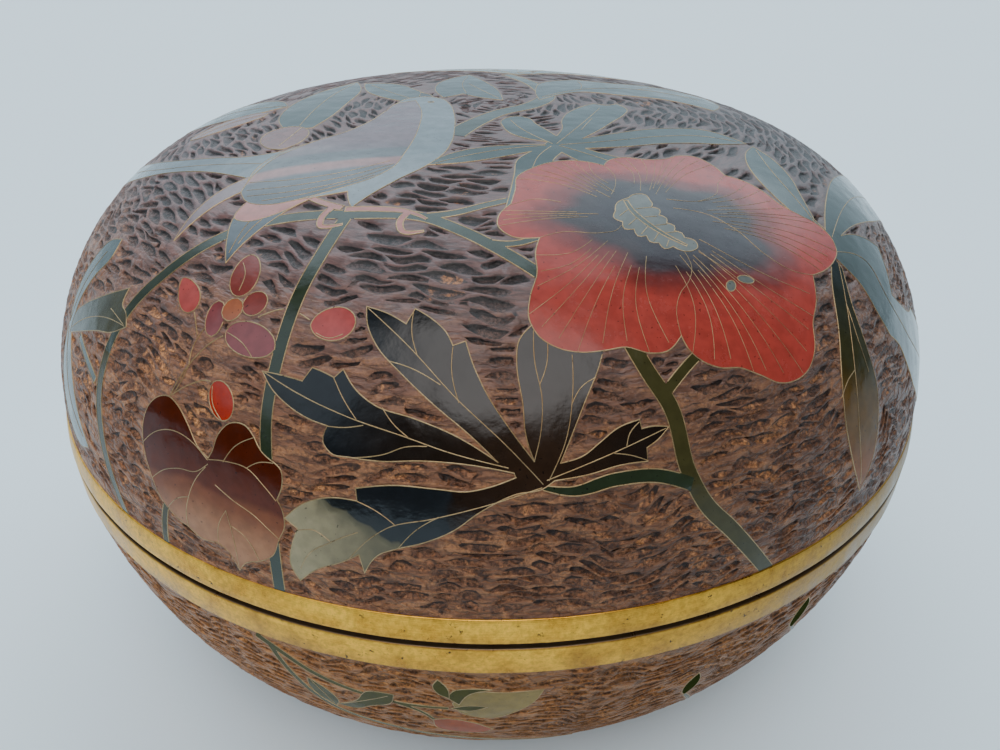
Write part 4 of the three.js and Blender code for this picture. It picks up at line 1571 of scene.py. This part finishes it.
# The enamels' colours along their tones, how far clouds shift the tone, and their finish
ENAMELS = {
    "petal_red": {"stops": [
        (0.0, (0.017, 0.010, 0.016)), (0.3, (0.024, 0.012, 0.015)), (0.62, (0.14, 0.019, 0.015)),
        (1.0, (0.31, 0.038, 0.027))], "bleed": 0.14, "roughness": 0.2, "specular": 0.3},
    # leaf_dark: the olive stops from 0.76 up are a painted reflection on the front leaf's low lobe
    "leaf_dark": {"stops": [
        (0.0, (0.024, 0.011, 0.005)), (0.3, (0.009, 0.005, 0.003)), (0.5, (0.006, 0.008, 0.010)),
        (0.7, (0.008, 0.010, 0.010)), (0.76, (0.075, 0.064, 0.032)), (1.0, (0.27, 0.225, 0.12))],
        "bleed": 0.16, "specular": 0.37},
    # leaf_brown: the paler stops from 0.5 up are a painted reflection towards the brown leaf's tip
    "leaf_brown": {"stops": [
        (0.0, (0.055, 0.007, 0.001)), (0.38, (0.085, 0.015, 0.004)), (0.5, (0.16, 0.046, 0.016)),
        (1.0, (0.32, 0.15, 0.075))], "specular": 0.2},
    "leaf_grey": plain((0.008, 0.022, 0.017), (0.025, 0.045, 0.042)),
    "leaf_turning": {"stops": [
        (0.0, (0.008, 0.014, 0.014)), (0.5, (0.026, 0.024, 0.007)), (0.75, (0.09, 0.045, 0.008)),
        (1.0, (0.15, 0.048, 0.008))], "bleed": 0.2, "specular": 0.08},
    "leaf_moss": plain((0.028, 0.027, 0.012), (0.055, 0.05, 0.022), specular=0.28),
    "stem_green": plain((0.008, 0.016, 0.007), (0.024, 0.034, 0.014)),
    "stem_olive": plain((0.030, 0.028, 0.009), (0.055, 0.047, 0.016), specular=0.2),
    "stamen": plain((0.07, 0.08, 0.073), (0.13, 0.14, 0.126), specular=0.3),
    "coral": plain((0.31, 0.04, 0.04), (0.40, 0.075, 0.06)),
    "crimson": plain((0.13, 0.022, 0.018), (0.22, 0.035, 0.026)),
    "plum": plain((0.15, 0.03, 0.034), (0.22, 0.05, 0.05)),
    "orange": plain((0.26, 0.06, 0.02), (0.36, 0.11, 0.045)),
    "vermilion": plain((0.26, 0.010, 0.002), (0.38, 0.024, 0.005)),
    "faded_rose": plain((0.15, 0.062, 0.055), (0.21, 0.09, 0.08)),
    "salmon": plain((0.3, 0.085, 0.07), (0.42, 0.15, 0.12)),
    "bowl_dark": plain((0.018, 0.024, 0.006), (0.035, 0.042, 0.010), specular=0.0),
    "bowl_olive": plain((0.035, 0.034, 0.006), (0.07, 0.065, 0.012), specular=0.05),
    "bowl_khaki": plain((0.17, 0.115, 0.03), (0.26, 0.18, 0.055), specular=0.12),
    "bowl_orange": plain((0.21, 0.036, 0.008), (0.31, 0.065, 0.017), specular=0.04),
    "bird_tail": plain((0.085, 0.115, 0.135), (0.14, 0.17, 0.19)),
    "bird_pale": plain((0.115, 0.15, 0.17), (0.165, 0.20, 0.22)),
    "bird_mauve": plain((0.14, 0.085, 0.09), (0.19, 0.125, 0.135)),
    "bird_slate": plain((0.02, 0.03, 0.045), (0.05, 0.07, 0.085)),
    "bird_wing": {"stops": [
        (0.0, (0.15, 0.10, 0.115)), (0.2, (0.12, 0.09, 0.105)), (0.28, (0.075, 0.085, 0.095)),
        (0.41, (0.07, 0.08, 0.09)), (0.47, (0.26, 0.12, 0.11)), (0.55, (0.24, 0.11, 0.105)),
        (0.62, (0.045, 0.055, 0.07)), (1.0, (0.02, 0.03, 0.045))], "bleed": 0.08},
}


# ---------------------------------------------------------------- light, floor and camera


# Soft round patches of light: azimuth (0 behind the box, 180 at the camera) and elevation of the
# middle, the angles from it at which it starts and ends its fade, colour and strength
SKY_PATCHES = [
    (0, -5, 50, 90, (0.70, 0.90, 1.04), 1.05),
    (-25, 50, 18, 33, (0.76, 0.93, 1.04), 2.8),
    (35, 50, 16, 35, (0.76, 0.93, 1.04), 2.9),
    (97, 56, 19, 24, (0.5, 0.45, 0.42), 0.2),
    (180, 60, 19, 29, (1.0, 0.98, 0.97), 3.8),
    (-118, 40, 14, 28, (0.75, 0.88, 1.0), 1.5),
]


def make_world():
    world = bpy.data.worlds.new("studio")
    bpy.context.scene.world = world
    p = Paint(world, "Background", "OutputWorld")
    direction = p.add("TexCoord").outputs["Generated"]
    sky = (0.1, 0.095, 0.09)
    for azimuth, elevation, inner, outer, colour, strength in SKY_PATCHES:
        a, e = math.radians(azimuth), math.radians(elevation)
        aim = (math.sin(a) * math.cos(e), math.cos(a) * math.cos(e), math.sin(e))
        nearness = p.add("VectorMath", direction, aim, operation="DOT_PRODUCT").outputs["Value"]
        share = p.spread(nearness, (math.cos(math.radians(outer)), math.cos(math.radians(inner))))
        sky = p.mix(share, sky, tuple(c * strength for c in colour))
    p.surface(Color=sky, Strength=1.0)


def make_floor():
    size = 4.0
    floor = make_mesh("floor", [(-size, -size, 0), (size, -size, 0), (size, size, 0), (-size, size, 0)],
                      [(0, 1, 2, 3)], [floor_material()], smooth=False)


def floor_material():
    material = bpy.data.materials.new("plain_floor")
    p = Paint(material)
    tone = p.mix(p.noise(p.place(), 3), (0.745, 0.865, 0.935), (0.77, 0.885, 0.955))
    p.surface(Base_Color=tone, Roughness=0.9)
    return material


# The camera in metres from the middle of the seam, and its turns from facing it, in degrees
CAMERA_PLACE = (0, -0.2235, 0.1233)
CAMERA_YAW, CAMERA_PITCH, CAMERA_ROLL = -0.572, -3.187, -0.355
CAMERA_LENS = 28.09


def make_camera():
    data = bpy.data.cameras.new("camera")
    data.sensor_width = 36
    data.lens = CAMERA_LENS
    data.clip_start, data.clip_end = 0.01, 30
    camera = bpy.data.objects.new("camera", data)
    bpy.context.scene.collection.objects.link(camera)
    seam = Vector((0, 0, SEAM * MM))
    camera.location = seam + Vector(CAMERA_PLACE)
    look = (seam - camera.location).normalized()
    right = look.cross(Vector((0, 0, 1))).normalized()
    up = right.cross(look)
    yaw = Matrix.Rotation(math.radians(CAMERA_YAW), 3, up)
    look, right = yaw @ look, yaw @ right
    pitch = Matrix.Rotation(math.radians(CAMERA_PITCH), 3, right)
    look, up = pitch @ look, pitch @ up
    roll = Matrix.Rotation(math.radians(CAMERA_ROLL), 3, look)
    right, up = roll @ right, roll @ up
    camera.rotation_mode = "QUATERNION"
    camera.rotation_quaternion = Matrix((right, up, -look)).transposed().to_quaternion()
    bpy.context.scene.camera = camera


# ---------------------------------------------------------------- building


def finish_piece(piece, slot, *nodes):
    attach(piece, "root")
    if nodes:
        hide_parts(*nodes)


def build_dome(node, sheet, linings, materials, enamels, wires, wire):
    """A dome's shell in place of its solid, with its enamels and wires."""
    finish_piece(shell(node + "_shell", sheet, linings, materials), "enamel", node)
    for piece in enamel_pieces(sheet, enamels):
        finish_piece(piece, "enamel")
    finish_piece(wire_piece(node + "_wires", sheet.dome, wires, wire), "brass")


def build_lid(materials, enamels, wire):
    cells = lid_cells()
    stalks = [spline(s) for s in STALKS]
    # whorls in the grain: centre, reach in mm and turn in degrees
    swirls = [((33, -132), 5, 40), ((84, -126), 5, -20), ((-12, -148), 5, 30), ((-90, -100), 8, 25),
              ((100, -98), 6, 40), ((-100, -95), 6, -30)]
    pits = Bark(0.0, LID.size, (84, 124), (1.42, 1.08), (10.6, 14.5), 11, swirls)
    # filling points: gap, from, to, and whether they lie on bare ground or under the enamels
    spacing = [(2.0, 0, 96, False), (3.4, 96, 200, False), (2.0, 0, 200, True)]
    sheet = Sheet(LID, cells, stalks, pits, spacing)
    build_dome("lid", sheet, lid_linings(), materials, enamels, wire_lines(cells, stalks), wire)


def build_bowl(materials, enamels, wire):
    cells = bowl_cells()
    join = foot_join()[1]
    swirls = [((20, -140), 7, 50), ((-70, -110), 8, -45), ((60, -135), 6, 40)]
    pits = Bark(join, BOWL.size, (100, 130), (1.8, 1.06), (10.5, 14.0), 23, swirls)
    spacing = [(3.4, 0, 200, False), (2.2, 0, 200, True)]
    sheet = Sheet(BOWL, cells, [], pits, spacing, 108.0, join)
    build_dome("bowl", sheet, bowl_linings(), materials, enamels, wire_lines(cells, []), wire)


def main():
    bark = bark_material("lid_bark", UPPER_BARK, LOWER_BARK, (85, 135), (0.5, 0.3), (0.9, 0.8))
    bowl_bark = bark_material("bowl_bark", BOWL_BARK, BOWL_BARK, (10, 20), (0.2, 0.2), (0.3, 0.3))
    lining = lining_material()
    brass = brass_material("band_brass", (0.96, 0.52, 0.065), (0.56, 0.26, 0.028), 0.34, 0.25)
    wire = brass_material("wire_brass", (0.48, 0.34, 0.18), (0.32, 0.21, 0.10), 0.42, 0.8)
    enamels = {name: enamel(name, **facts) for name, facts in ENAMELS.items()}
    build_lid([bark, lining], enamels, wire)
    build_bowl([bowl_bark, lining, brass], enamels, wire)
    finish_piece(band("lid_band", lid_band_outline(), brass), "brass", "lid_rim")
    finish_piece(band("bowl_band", bowl_band_outline(), brass), "brass", "bowl_rim")
    make_world()
    make_floor()
    make_camera()


main()
